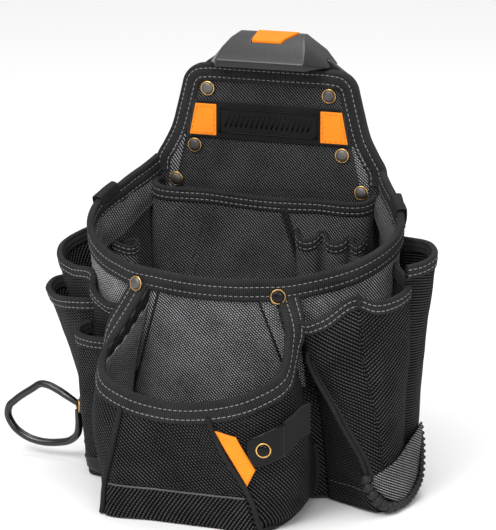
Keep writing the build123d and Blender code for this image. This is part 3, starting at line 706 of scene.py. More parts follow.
def main_body():
    """Grey front, two-tone sides and the slanted seams between them."""
    low = 3.0

    def top(y):
        return rim_z(y) - 2.0

    def flank_turn(share):
        """Turn at a share of the way from the front seam to the back panel."""
        if share < 0.5:
            return lambda z: seam_turn(z) + share * (1.0 - seam_turn(z)) * 2.0
        return lambda z: 1.0 + (share - 0.5) * 2.0

    grid = []
    for share in np.linspace(-1.0, 1.0, 41):
        side = 1 if share >= 0 else -1
        grid.append(body_grid(side, [lambda z: abs(share) * seam_turn(z)], low, top, 60)[0])
    shell("main_front", rumple(np.array(grid), 1.4, 34.0, 3.1), "grey_weave", node="main_front_panel")
    shares = np.linspace(0.0, 1.0, 110)
    turns = [flank_turn(share) for share in shares]
    splits = np.interp(shares, (0.05, 0.075), (92.0, 128.0))
    for side, word in SIDES:
        upper = body_grid(side, turns[::side], splits[::side], top, 30)
        lower = body_grid(side, turns[::side], low, splits[::side], 50)
        upper = rumple(upper, 0.8, 30.0, 5.0 + side)
        # The upper flanks take the brighter copy of the grey weave: painted light.
        shell(f"main_{word}_gusset_upper", upper, "grey_weave_lit", upright=-1, node=f"main_{word}_gusset")
        shell(f"main_{word}_gusset_lower", rumple(lower, 1.2, 36.0, 8.0 + side), "black_weave", upright=0)
        seam = body_grid(side, [seam_turn], low, top, 60)[0]
        out = unit(np.array([side * 0.4, -1.0, 0.0]))
        tube(f"main_{word}_seam", seam + out * 0.3, 0.8, "tape_plain", sides=8)


def main_rim():
    """Wide tape round the mouth, from one side of the back panel to the other."""
    turns = np.concatenate([np.linspace(2.0, 1.0, 30), np.linspace(1.0, 0.0, 50)[1:]])
    edge = []
    for side, order in ((-1, turns), (1, turns[::-1][1:])):
        for turn in order:
            x, y, _ = near_rim(side, turn)
            edge.append((x, y, rim_z(y)))
    full = lengths(edge)[-1]
    edge = evenly(edge, 2.2)
    for k, s in enumerate(np.linspace(0, full, len(edge))):
        edge[k, 2] += 0.5 * noise.noise(Vector((s / 34.0, 0.4, 0.0)))
    tangent = unit(np.gradient(edge, axis=0))
    flat_out = unit(np.cross(tangent, (0.0, 0.0, 1.0)))
    down = unit(np.array([(-0.055 * n[0], -0.055 * n[1], -1.0) for n in flat_out]))
    down = unit(down - tangent * np.sum(down * tangent, axis=1, keepdims=True) * 0.35)
    out = unit(np.cross(down, tangent))
    if out[len(out) // 2][1] > 0:
        out = -out
    over_arm = np.exp(-(((np.abs(edge[:, :1]) - 60.0) / 13.0) ** 2)) * (edge[:, 1:2] < -50.0)
    edge = edge + out * over_arm * 3.0
    edge = edge + down * 1.2 - out
    binding("main_rim_tape", edge, down, out, 16.8, (5.6, 12.6), node="main_rim_binding", inner=True)


def side_tabs():
    """Short webbing stubs wrapped over the rim behind each side seam."""
    for side, word in SIDES:
        edge = []
        for turn in np.linspace(1.2, 1.48, 16) - 0.21 * (side < 0):
            x, y, z = near_rim(side, turn)
            edge.append((x, y, z + 1.6))
        edge = np.array(edge[::side])
        tangent = unit(np.gradient(edge, axis=0))
        out = unit(np.cross(tangent, (0.0, 0.0, 1.0)))
        out = out * np.sign(np.sum(out * (side, 0, 0), axis=1, keepdims=True))
        down, out = square_on(edge, all_along(edge, (0.0, 0.0, -1.0)), out)
        binding(f"side_tab_{word}", edge, down, out, 18.0, (15.5,), thick=8.2, node="side_tabs", inner=True)


# --- sewn pockets
def row_at(grid, column, z):
    """The grid row nearest a height, in one column."""
    return int(np.argmin(np.abs(grid[column, :, 2] - z)))


def level(z, *spots):
    """Control points that share one height."""
    return [(x, y, z) for x, y in spots]


FRONT_POCKET = [
    level(1, (-74, -46), (-73, -85), (-69, -108), (-66.5, -121), (-63, -130), (-20, -132), (25, -132),
          (62, -130.5), (67.5, -118), (71, -103), (71.5, -78), (69, -50)),
    level(8, (-74, -48), (-74, -85), (-71.5, -107), (-68, -120), (-61.5, -130.6), (-20, -132.5),
          (22, -132.5), (60, -131), (73, -118.5), (79.5, -102), (79.5, -77), (75, -49)),
    level(20, (-74, -49), (-75, -85), (-73, -106), (-69, -119), (-60, -131), (-20, -133), (20, -133),
          (57, -131.5), (76, -119), (82, -102), (81, -76), (77, -49)),
    level(61, (-72, -56), (-80, -84), (-82, -102), (-77, -115), (-51, -132), (-15, -134), (10, -134),
          (33, -133.5), (74, -121), (85, -107), (82, -80), (74, -56)),
    [(-48.0, -72.5, 165), (-60.5, -93, 136), (-71.5, -110, 114), (-66.0, -121, 106.4), (-44.3, -130, 98.2),
     (-19.6, -132.5, 93.8), (4.2, -133, 93.8), (17.2, -133, 95.6), (53.7, -127, 106.3), (71.2, -114, 117.8),
     (70.6, -96, 137.2), (54.8, -72.5, 163)],
]
LEFT_SEAM, RIGHT_SEAM = 4, 7
FRONT_ACROSS, FRONT_UP = 9, 22
ARM_FROM, ARM_OVER = 108.0, 32.0
FLAT_FROM, FLAT_OVER = 138.0, 22.0

RIGHT_FRONT = [
    [(86, -44, 1), (104, -52, 1), (124, -62, 2), (129, -62, 1), (133, -59, 1), (137, -54, 1),
     (140, -46, 1), (140.5, -36, 1), (127, -20, 1)],
    level(33, (84, -48), (102, -56), (124, -66), (129, -65), (133, -61), (138, -54), (140.5, -46),
          (141, -34), (127, -16)),
    level(69, (82, -53), (94, -61), (107, -70), (119, -70.5), (130, -64.5), (137, -56), (140.5, -46),
          (141.5, -33), (126, -14)),
    level(115, (74, -60), (77, -67), (82, -73), (98, -78), (120.5, -68), (131, -59), (139, -47),
          (143.5, -30), (126, -12)),
    [(62, -68, 163), (69, -79, 152), (76, -80.5, 148), (90, -79, 152.5), (113.3, -64, 167),
     (123.5, -58, 162.5), (135, -47, 163.2), (143, -28, 169), (126.5, -10, 181)],
]
PIPE_COLUMN, CREASE_COLUMN = 2, 4

RIGHT_REAR = [
    level(1, (138, -30), (140.5, -18), (141, -4), (138, 10), (124, 24)),
    level(89, (139.5, -30), (145, -18), (146, -4), (141, 10), (124, 24)),
    [(141, -30, 184), (150.5, -20, 185.5), (156, -8, 189), (148, 10, 193), (120, 20, 194)],
]
LEFT_REAR = [
    level(1, (-104, 26), (-118, 20), (-121, 5), (-121, -16), (-114, -30), (-106, -38), (-98, -42),
          (-82, -46), (-72, -50)),
    level(95, (-108, 26), (-126, 20), (-131, 4), (-131, -16), (-120, -32), (-108, -42), (-100, -48),
          (-80, -54), (-70, -60)),
    [(-109, 24, 187), (-141, 17, 178), (-152.9, 0, 169), (-149.4, -12, 164), (-132, -28, 160.8),
     (-107, -43, 160.5), (-104.5, -52, 153), (-90, -62, 143.5), (-72, -70, 144)],
]
LEFT_MID = [
    level(1, (-108, 20), (-123, 4), (-125.5, -16), (-118, -32), (-106, -40), (-95, -38)),
    level(60, (-111, 18), (-127, 4), (-129, -16), (-121, -34), (-109, -44), (-96, -42)),
    [(-132, 12, 146), (-161, 1, 140), (-159.8, -12, 137), (-153, -22, 135.5), (-118, -46, 139.4),
     (-101, -42, 140)],
]
LEFT_LOW = [
    level(1, (-104, -34), (-111, -42), (-109, -50), (-98, -55), (-80, -56)),
    level(60, (-106, -42), (-113, -52), (-110.5, -61), (-100, -66), (-78, -68)),
    [(-108, -48, 124), (-114.1, -56, 121.7), (-112.5, -64, 119), (-98, -75, 118.4), (-76, -82, 120)],
]


def front_pocket():
    """Bellows pocket on the front: trapezoid face, two gussets, wide mouth tape."""
    grid = loft(FRONT_POCKET, FRONT_ACROSS, FRONT_UP)
    left, right = LEFT_SEAM * FRONT_ACROSS, RIGHT_SEAM * FRONT_ACROSS
    full = rumple(grid, 1.6, 30.0, 1.7, fade=14.0)
    for name, part, node in (
        ("front_pocket_left_side", full[: left + 1], "front_pocket_left_gusset"),
        ("front_pocket_panel", full[left : right + 1], "front_pocket_face"),
        ("front_pocket_right_side", full[right:], "front_pocket_right_gusset"),
    ):
        shell(name, part, "black_weave", node=node)
    inward = normals_of(full) * (CLOTH_THICK + 0.15)
    middle = (left + right) // 2
    upper = row_at(full, middle, 45.0)
    # The left lining takes the brighter copy of the grey weave, painted light; the right lining takes the
    # plain grey weave.
    shell("front_pocket_left_lining", (full - inward)[: left + 1, upper:-3], "grey_weave_lit", thick=0.7)
    shell("front_pocket_right_lining", (full - inward)[right:, upper:-3], "grey_weave", thick=0.7)
    edge, down, out = even_rim(full)
    # Up the mouth's arms the tape turns from the pocket's rim to lie on the body.
    arm = np.clip((edge[:, 2:] - ARM_FROM) / ARM_OVER, 0.0, 1.0)
    arm = arm * arm * (3 - 2 * arm)
    side = np.sign(edge[:, :1])
    flat = np.minimum(np.clip((edge[:, 2:] - FLAT_FROM) / FLAT_OVER, 0.0, 1.0) + (side < 0), 1.0)
    aside = np.hstack([side * (0.06 + 0.79 * flat), 1.0 - 0.55 * flat, np.full_like(side, 0.14)])
    down = unit(down * (1 - arm) + aside * arm)
    forward = np.hstack([side * (0.95 - 0.65 * flat), -0.1 - 0.7 * flat, np.full_like(side, 0.4)])
    out = unit(out * (1 - arm) + forward * arm)
    down, out = square_on(edge, down, out)
    binding("front_pocket_tape", edge, down, out, 16.5, (6.0, 13.0), node="front_pocket_binding", inner=True)
    out = normals_of(full)
    pipes = []
    for column in (left, right):
        line = full[column] + out[column] * 1.3
        pipes.append(tube_mesh(line[line[:, 2] < 86.0], 2.1, 12))
    tubes("front_pocket_piping", pipes, "tape_plain", node="front_pipings")
    kick = row_at(full, middle, 25.0)
    strip = (full + out * 1.3)[left + 1 : right, : kick + 1]
    shell("front_pocket_kick", strip, "kick_weave", thick=1.6, node="front_pocket_kick_band")
    # The fold is drawn in a light grey: a painted highlight along the edge.
    tube("front_pocket_kick_highlight_fold", (full + out)[left + 1 : right, kick], 0.75, "fold_highlight", sides=8)
    facing = out[left + 2 : right - 1, kick]
    line = full[left + 2 : right - 1, kick + 1] + facing * 0.3
    stitching("front_pocket_kick_stitches", [(line, facing)], look="dark_thread")
    rear = np.concatenate([full[-1, ::-1][30:], full[right:, 0][::-1]])
    tube("front_pocket_right_welt", rear + (1.2, -0.6, 1.0), 1.7, "tape_plain", sides=10)
    foot = [
        level(3.6, (-60, -127), (0, -129), (60, -127)),
        level(3.6, (-71, -90), (0, -96), (64, -90)),
        level(3.6, (-71, -50), (0, -62), (64, -52)),
    ]
    shell("front_pocket_bottom", loft(foot, 14, 10), "base_fabric", thick=3.0, node="front_pocket_base")
    return full


def side_pocket(place, rows, across, up, amount, seed, look, fold_at=None):
    """Open bag through rows of control points, with its mouth tape."""
    grid = rumple(loft(rows, across, up), amount, 26.0, seed, fade=9.0)
    shell(place + "_bag", grid, look, fold_at=fold_at, node=place + "_pocket")
    binding(place + "_bag_tape", *even_rim(grid), 10.4, (3.4, 7.7), thick=5.0, node=place + "_pocket_binding")
    return grid


def side_pockets():
    across = 9
    fold = CREASE_COLUMN * across
    right = side_pocket("right_front", RIGHT_FRONT, across, 18, 1.6, 11.0, "bag_weave", fold_at=fold)
    side_pocket("right_rear", RIGHT_REAR, 12, 30, 1.2, 12.0, "side_weave")
    side_pocket("left_rear", LEFT_REAR, 9, 28, 1.2, 13.0, "left_weave")
    side_pocket("left_mid", LEFT_MID, 9, 26, 1.2, 14.0, "left_weave")
    side_pocket("left_low", LEFT_LOW, 9, 24, 1.0, 15.0, "left_weave")
    out = normals_of(right)
    column = PIPE_COLUMN * across
    line = right[column] + out[column] * 0.8
    line = line[(line[:, 2] > 26.0) & (line[:, 2] < 124.0)]
    line[-4:] -= out[column, :4] * np.array([[0.6], [1.4], [2.4], [3.6]])
    pipes = [tube_mesh(line + np.array([shift * 0.9, shift * 0.5, 0.0]), 1.9, 10) for shift in (-1.9, 1.9)]
    tubes("right_front_piping", pipes, "tape_plain", node="right_pocket_piping")
    hem = row_at(right, 4, 17.0)
    hem_line = (right + out * 0.3)[1:column, hem]
    stitching("right_front_hem_stitches", [(hem_line, out[1:column, hem])], look="hem_thread")
    lip = (right + out * 1.6)[fold, -9:][::-1]
    lip[0] += (0.0, 0.0, 1.6)
    tube("right_front_tuck", lip[:4], 1.7, "tape", sides=10)
    tube("right_front_crease", (right + out * 0.1)[fold, 4:-8], 0.7, "black_weave", sides=8)


def floor_panel():
    """Base fabric just above the ground, drawn in towards the back panel."""
    rear_y, rear_half, inset = 60.0, 92.0, 0.985
    turns = (-1.35, -1.0, -0.6, -0.3, 0.0, 0.3, 0.6, 1.0, 1.35)
    rows = []
    for share in (1.0, 0.7, 0.35, 0.0):
        row = []
        for turn in turns:
            x, y = body_point(-1 if turn < 0 else 1, abs(turn), 0.0)
            half = abs(x) * inset
            half = min(half, rear_half + (half - rear_half) * share)
            row.append((math.copysign(half, x), y * inset * share + rear_y * (1 - share), 3.8))
        rows.append(row)
    shell("main_floor", loft(rows, 6, 8), "base_fabric", thick=3.2, node="base_panel")


# --- back panel
# The back panel's heights, each with its half width.
PANEL_HALF = [(2.0, 95.0), (110.0, 95.0), (228.0, 95.2), (236.0, 92.5), (247.0, 86.5), (256.5, 82.0),
              (277.0, 76.0), (291.0, 72.5), (299.0, 68.5), (305.5, 62.0)]
PANEL_LOW = 2.0
PANEL_SIDE = [(95.3, 222.0), (94.6, 233.0), (88.2, 245.0), (82.2, 256.5), (76.2, 277.0), (72.7, 291.0)]
PANEL_CORNER = [(72.7, 291.0), (70.6, 298.5), (66.2, 304.5), (60.0, 308.2), (52.0, 309.4), (30.0, 309.6),
                (0.0, 309.6)]
PANEL_TOP = 309.0
PANEL_FRONT = 60.0


def panel_half(z):
    """Half width of the back panel at a height."""
    zs, xs = zip(*PANEL_HALF)
    return float(np.interp(z, zs, xs))


def back_panel():
    """Padded board and the tape round its upper part."""
    columns, rows = 60, 90
    grid = np.zeros((columns, rows, 3))
    for j in range(rows):
        z = PANEL_LOW + (PANEL_TOP - 3.0 - PANEL_LOW) * j / (rows - 1)
        half = panel_half(z) - 1.5
        for i in range(columns):
            share = 2.0 * i / (columns - 1) - 1.0
            crown = 0.7 * (1 - share**4) * min(1.0, (PANEL_TOP - z) / 20.0)
            grid[i, j] = (share * half, PANEL_FRONT - crown, z)
    grid = rumple(grid, 0.5, 40.0, 21.0, fade=16.0)
    board = shell("back_board", grid, "plate_weave", thick=9.0, node="back_panel")
    half = np.concatenate([smooth(PANEL_SIDE, 8), smooth(PANEL_CORNER, 8)[1:]])
    outline = np.concatenate([half, (half * (-1, 1))[::-1][1:]])
    edge = np.array([(x, PANEL_FRONT + 4.0, z) for x, z in outline])
    at = np.linspace(0, lengths(edge)[-1], 210)
    edge = resample(edge, at)[0][::-1]
    tangent = unit(np.gradient(edge, axis=0))
    out = all_along(edge, FORWARD)
    down = unit(np.cross(tangent, out))
    if down[len(down) // 2][2] > 0:
        down = -down
    binding("back_board_tape", edge, down, out, 14.0, (3.8, 10.6), thick=11.6, node="back_panel_binding")


def flat_strip(rows, across=6, up=6):
    """Thin panel through rows of (x, z) in front of the back board."""
    return loft([[(x, PANEL_FRONT - 1.6, z) for x, z in row] for row in rows], across, up)


def board_trims():
    """Grey slivers beside the board's inset and the fabric strip behind the label."""
    for side, word in SIDES:
        rows = []
        for z, inside in ((203.0, 78.0), (218.0, 76.0), (236.0, 72.0), (252.0, 68.5)):
            outside = panel_half(z) - 12.0
            row = [(side * inside, z), (side * (inside + outside) / 2, z), (side * outside, z)]
            rows.append(row[::side])
        shell(f"board_sliver_{word}", flat_strip(rows), "grey_weave", thick=1.4)
    rows = [[(-half, z), (0.0, z), (half, z)] for half, z in ((68.0, 250.5), (66.5, 266.0), (64.5, 280.5))]
    shell("label_backing", flat_strip(rows, 16, 10), "backing", thick=1.0)


def label():
    """Blank moulded label with a ribbed frame between two orange patches."""
    softened("name_strip", 0.6, "label_black")
    y = PANEL_FRONT - 2.2
    half, low, high = 40.0, 255.6, 274.6
    bars = [([(x, y, z) for x in np.linspace(-half, half, 12)], 0.7) for z in (low, high)]
    bars += [([(x, y, z) for z in np.linspace(low, high, 6)], 0.7) for x in (-half, half)]
    for x in np.arange(17) * 4.25 - 34.0:
        bars.append(([(x - 1.5, y, 260.5), (x, y, 265.1), (x + 1.5, y, 269.7)], 0.6))
    join_parts("label_frame", [tube_mesh(path, radius, 8)[:2] for path, radius in bars], "label_black")
    corners = [(45.0, 254.6), (64.0, 254.6), (59.2, 275.6), (45.0, 275.6), (45.0, 254.6)]
    for side, word in SIDES:
        softened(f"orange_patch_{word}", 0.5, "orange_polymer")
        line = []
        for (ax, az), (bx, bz) in zip(corners, corners[1:]):
            line += [(side * (ax + (bx - ax) * t), y, az + (bz - az) * t) for t in np.linspace(0, 1, 12)]
        line = np.array(line)
        stitches = [(line, all_along(line, FORWARD))]
        stitching(f"orange_patch_{word}_stitches", stitches, look="orange_thread")


# --- inner organiser
def inner_y(z):
    """Depth of the organiser's leaning face at a height."""
    return 53.0 - 9.5 * (z - 60.0) / 154.0


FOLD_ENDS = ((47.0, 110.0), (18.5, 203.0))
DART_ENDS = ((-71.0, 110.0), (-40.5, 200.0))
# Height, left and right half widths, and how far the organiser's front sags.
INNER_ROWS = (
    (60.0, 95.0, 88.0, 0.0),
    (120.0, 97.0, 90.0, 0.0),
    (170.0, 95.0, 89.5, 1.0),
    (214.0, 92.0, 89.0, 3.0),
)


def inner_line(ends, shift, forward):
    """Slanted line in front of the organiser's face."""
    (low_x, low_z), (high_x, high_z) = ends
    spots = zip(np.linspace(low_x, high_x, 24), np.linspace(low_z, high_z, 24))
    return np.array([(x + shift, inner_y(z) - forward, z) for x, z in spots])


def inner_organiser():
    """Sleeve in front of the back panel, with a folded seam and a stitched dart."""
    rows = []
    for z, left, right, sag in INNER_ROWS:
        y = inner_y(z)
        rows.append([(-left + 1, 59.5, z + 2), (-left, y + 5, z + 2), (-left + 2, y, z + 1),
                     (-42, y - 1.5, z - 0.6 * sag), (0, y - 2.2, z - 1.3 * sag), (42, y - 1.5, z - sag),
                     (right - 2, y, z - 0.3 * sag), (right, y + 5, z), (right, 59.5, z + 1)])
    grid = rumple(loft(rows, 9, 24), 1.6, 30.0, 31.0)
    shell("organiser_sleeve", grid, "lining", node="inner_tool_panel")
    binding("organiser_tape", *even_rim(grid), 11.5, (4.0, 8.6), thick=5.0, node="inner_panel_binding")
    folds = [tube_mesh(inner_line(FOLD_ENDS, shift, 2.9), 1.3, 10) for shift in (-1.7, 1.7)]
    tubes("organiser_fold", folds, "tape_plain", slot="black_weave", node="inner_folded_seam")
    lines = []
    for shift in (-2.6, 2.6):
        line = inner_line(DART_ENDS, shift, 3.4)
        lines.append((line, all_along(line, FORWARD)))
    stitching("organiser_dart_stitches", lines, look="dark_thread")


PEN_SPOTS = ((39.5, 11.5), (63.0, 11.5), (80.5, 6.5))


def pen_pocket():
    """Three scalloped pen cells with a taped lip."""
    low, top = 118.0, 187.0
    rows = []
    for z in (low, 150.0, top - 6.0, top):
        face = inner_y(z) - 1.8
        row = [(28.0, face, z)]
        reach = 10.0 if z > low + 5 else 6.0
        dip = 7.0 if z > top - 7 else 0.0
        for x, half in PEN_SPOTS:
            row += [(x - 0.6 * half, face - reach * 0.82, z - dip * 0.72), (x, face - reach, z - dip)]
            row += [(x + 0.6 * half, face - reach * 0.82, z - dip * 0.72), (x + half, face - 1.8, z)]
        rows.append(row)
    grid = loft(rows, 5, 16)
    shell("pen_cells", grid, "lining", thick=1.8, node="inner_pen_pocket")
    binding("pen_cells_tape", *even_rim(grid, step=1.2), 9.5, (2.8, 7.2), thick=3.6, node="inner_pen_binding")


def inner_loop_and_webs():
    """Driver loop, grey shoulder webs under the rim and the dark lining below them."""
    low, high = np.array((-99.0, 8.0, 140.0)), np.array((-101.0, 9.0, 173.0))
    grid = np.zeros((36, 16, 3))
    for i in range(36):
        turn = 2 * math.pi * i / 35
        for j in range(16):
            centre = low + (high - low) * j / 15
            wavy = 1.6 * math.sin(2 * turn) * (j / 15)
            grid[i, j] = centre + (11.0 * math.cos(turn), 9.0 * math.sin(turn), wavy)
    shell("driver_loop", grid, "lining", thick=1.6, node="inner_left_loop")
    binding("driver_loop_tape", *even_rim(grid, step=1.5), 8.0, (2.6, 6.0), thick=3.4)
    for side, word in SIDES:
        top, low = [], []
        for turn, drop in ((0.72, 10.0), (1.0, 22.0), (1.25, 24.0), (1.5, 20.0), (1.75, 17.0), (1.93, 16.0)):
            x, y, z = near_rim(side, turn, 15.5)
            top.append((x - side * 3.6, y - 1.5, z))
            low.append((x - side * 9.5, y - 3.5, z - drop))
        middle = [(a + b) / 2 - (side * 1.6, 1.6, 0.0) for a, b in zip(np.array(top), np.array(low))]
        grid = loft([row[::-side] for row in (low, middle, top)], 10, 9)
        grid = rumple(grid, 0.8, 18.0, 41.0 + side, fade=4.0)
        shell(f"shoulder_web_{word}", grid, "web_weave", thick=1.6, node="shoulder_webs")
        rows = []
        for z in (100.0, 145.0, 190.0):
            row = []
            for turn in (0.75, 1.0, 1.25, 1.5, 1.75, 1.9):
                x, y = body_point(side, turn, z)
                lift = 6.0 * (turn - 1.0) * (z > 150)
                row.append((x - side * 4.6, y + (2.0 if turn < 1.0 else -1.5), z + lift))
            rows.append(row[::-side])
        liner = rumple(loft(rows, 8, 10), 0.8, 22.0, 61.0 + side, fade=6.0)
        shell(f"inner_wall_{word}", liner, "lining", thick=1.2)


# --- hardware
CAP_RADIUS = 4.7
RIVET_CAP = [(CAP_RADIUS, 0.0)]
RIVET_CAP += [(CAP_RADIUS * math.sin(a), 1.5 + 1.4 * math.cos(a)) for a in np.arange(6, 0, -1) * math.pi / 12]
RIVET_CAP += [(0.05, 2.9)]


def rivets():
    """Domed caps, each in a brass ring, on the back panel and the rim."""
    caps, rings = [], []
    ring = hoop(CAP_RADIUS + 0.5, 0.7, 0.6)
    for x, z in ((50.0, 290.0), (61.0, 244.0), (77.0, 215.6)):
        for side in (-1, 1):
            spot = (side * x, PANEL_FRONT - 1.9, z)
            caps.append(lathe(spot, FORWARD, RIVET_CAP))
            rings.append(lathe(spot, FORWARD, ring, sides=32))
    join_parts("panel_rivet_caps", caps, "rivet_grey", node="panel_rivets")
    for (side, word), look in zip(SIDES, ("rivet_grey", "rivet_dark")):
        x, y = body_point(side, 0.285, 166.0)
        spot = (x + side * 1.2, y - 6.8, 165.0)
        axis = (side * 0.34, -0.93, 0.12)
        join_parts(f"rim_rivet_{word}", [lathe(spot, axis, RIVET_CAP)], look, node="rim_rivets")
        rings.append(lathe(spot, axis, ring, sides=32))
    join_parts("rivet_eyelets", rings, "brass", node="rivet_rings")


LOOP_BOW = [
    (-127.4, -25.9, 47.2), (-137.1, -25, 52.2), (-147.5, -23, 56.5), (-154.8, -22, 58.8), (-162, -21, 59.0),
    (-170.8, -21, 53.5), (-185.0, -20, 43.1), (-190.6, -20, 37.5), (-192.0, -20, 31.4), (-187.6, -20, 21.5),
    (-175.4, -20, 13.2), (-163.5, -20, 10.6), (-149.3, -20, 11.4), (-137.5, -21, 15), (-130.6, -23, 21.6),
    (-128.0, -25.4, 31.2), (-128.2, -26.2, 39), (-128.4, -26.4, 43),
]
LOOP_SEAT = np.array((-124.6, -24.2, 46.0))
LOOP_FACING = np.array((-0.8655, -0.501, 0.0))


def hammer_loop():
    """Bent steel rod in gloss black, flattened where it is riveted."""
    path = smooth(LOOP_BOW, 7)
    s = lengths(path)
    near = np.minimum(s, s[-1] - s)
    width = 2.6 + 0.9 * np.clip(near / 14.0, 0.0, 1.0)
    rod = tube_mesh(path, width, 16, 0.85)[:2]
    plate = [(2.6, 0.0), (6.6, 0.0), (7.2, 0.6), (7.2, 1.9), (6.6, 2.5), (2.6, 2.5), (2.6, 0.0)]
    eye = lathe(LOOP_SEAT + LOOP_FACING * 0.4, LOOP_FACING, plate)
    join_parts("hammer_loop_rod", [rod, eye], "black_steel", body="hammer_loop", node="hammer_loop")
    cap = [(4.3, 0.0), (4.2, 0.6), (3.4, 1.7), (1.9, 2.5), (0.05, 2.7)]
    pin = [(0.05, -2.9), (2.4, -2.9), (2.4, 0.0)]
    seat = LOOP_SEAT + LOOP_FACING * 3.1
    head = lathe(seat, LOOP_FACING, cap)
    shank = lathe(seat, LOOP_FACING, pin)
    join_parts("hammer_loop_rivet_cap", [head, shank], "rivet_dark", node="hammer_loop_rivet")
    join_parts("hammer_loop_eyelet", [lathe(seat, LOOP_FACING, hoop(4.9, 0.5, 0.7))], "brass")


# The strap's stations: (x, y), then its top and low edges.
STRAP_WEB = [((93.6, -110.5), 97.5, 74.0), ((88.7, -114.5), 95.6, 71.4), ((83.5, -119.5), 90.0, 65.0),
             ((78.0, -125.0), 85.0, 58.5)]
STRAP_TIP = [((79.0, -124.6), 84.0, 59.0), ((72.0, -131.0), 81.5, 56.0), ((66.0, -134.6), 78.5, 53.8),
             ((60.5, -136.4), 75.8, 52.6), ((57.0, -137.0), 74.4, 56.0), ((55.0, -137.2), 72.4, 61.0),
             ((54.4, -137.3), 69.6, 65.0)]
SNAP = np.array((66.0, -135.9, 66.0))
STRAP_OUT = np.array((0.30, -0.954, 0.0))


def strip(rows, across, lift):
    """Flat strap through its stations, lifted outwards."""
    low = [(x, y - lift, z) for (x, y), _, z in rows]
    high = [(x, y - lift, z) for (x, y), z, _ in rows]
    middle = [(x, y - lift - 0.5, (a + b) / 2) for (x, y), a, b in rows]
    return loft([low[::-1], middle[::-1], high[::-1]], across, 8)


def strap():
    """Tape strap with a gloss tip and a brass-ringed snap."""
    body = "tape_strap"
    shell("strap_webbing", strip(STRAP_WEB, 8, 0.6), "strap_weave", thick=1.8, body=body, node="strap_web")
    shell("strap_gloss_tip", strip(STRAP_TIP, 6, 0.9), "gloss_black", thick=1.9, body=body, node="strap_tip")
    spot = SNAP + STRAP_OUT * 0.9
    cap = lathe(spot, STRAP_OUT, [(4.5, -0.6), (4.5, 0.4), (3.8, 1.2), (2.2, 1.6), (0.05, 1.7)])
    join_parts("snap_button", [cap], "gloss_black", body=body, node="snap_cap")
    ring = lathe(spot, STRAP_OUT, hoop(5.1, 0.3, 0.6), sides=36)
    join_parts("snap_brass_ring", [ring], "brass", body=body, node="snap_ring")


TAG = [(52.4, 35.6), (58.2, 48.0), (44.0, 72.5), (27.9, 76.0)]


def drape(surface, corners, across, up, lift):
    """Grid over four (x, z) corners, laid on the front of a surface grid."""
    points = surface.reshape(-1, 3)
    points = points[points[:, 1] < -95.0]
    (ax, az), (bx, bz), (cx, cz), (dx, dz) = corners
    grid = np.zeros((across, up, 3))
    for i, s in enumerate(np.linspace(0, 1, across)):
        for j, t in enumerate(np.linspace(0, 1, up)):
            x = (1 - t) * ((1 - s) * ax + s * bx) + t * ((1 - s) * dx + s * cx)
            z = (1 - t) * ((1 - s) * az + s * bz) + t * ((1 - s) * dz + s * cz)
            gap = (points[:, 0] - x) ** 2 + (points[:, 2] - z) ** 2
            near = np.argsort(gap)[:5]
            weight = 1 / (gap[near] + 0.3)
            grid[i, j] = (x, float((points[near, 1] * weight).sum() / weight.sum()) - lift, z)
    return grid


def tag(front):
    """Blank orange tag sewn beside the right seam."""
    grid = drape(front, TAG, 12, 14, 1.9)
    shell("orange_side_tag", grid, "orange_polymer", thick=1.6, node="orange_tag")


GUARD_FOOT = [(124.5, -66), (132.5, -61), (138, -53.5), (141.5, -44), (143.2, -34), (143.8, -24), (144, -14),
              (143.4, -4), (142, 3)]
GUARD_WAIST = [(125, -66.5), (133.2, -61.4), (139, -53.5), (142.2, -45), (144.2, -35), (145.4, -24),
               (145.9, -14), (145.4, -4), (143.4, 3)]
GUARD_LOW = (25.0, 15.5, 9.0, 5.0, 2.5, 2.5, 2.5, 2.5, 2.5)
GUARD_TOP = (29.0, 34.0, 38.0, 42.5, 47.5, 51.0, 53.0, 54.5, 54.0)
CORD = [(122.3, -69, 32.0), (124.0, -70.2, 25.5), (127.8, -69.4, 18.0), (131.8, -66.4, 11.4),
        (137.0, -61.4, 6.6), (142.0, -51, 4.2), (145.6, -37, 4.4), (147.6, -23, 8.6), (148.0, -10, 16),
        (147.0, -4, 28), (145.4, 0, 40.5), (143.6, 2, 53.0)]
# The cord has round bands along the foot, then teeth up the rear.
BAND_PITCH, TOOTH_PITCH, TEETH_FROM = 6.4, 4.6, 40.0
# Each left foot's name, how far it is raised and the spots it passes.
LEFT_FEET = (
    ("rear", 2.0, [(-103, 24), (-119, 6), (-122.5, -14), (-117, -29), (-110.5, -36)]),
    ("front", 0.0, [(-112, -35.5), (-109.5, -44), (-107.5, -51), (-98, -56.5), (-90, -57.5)]),
)


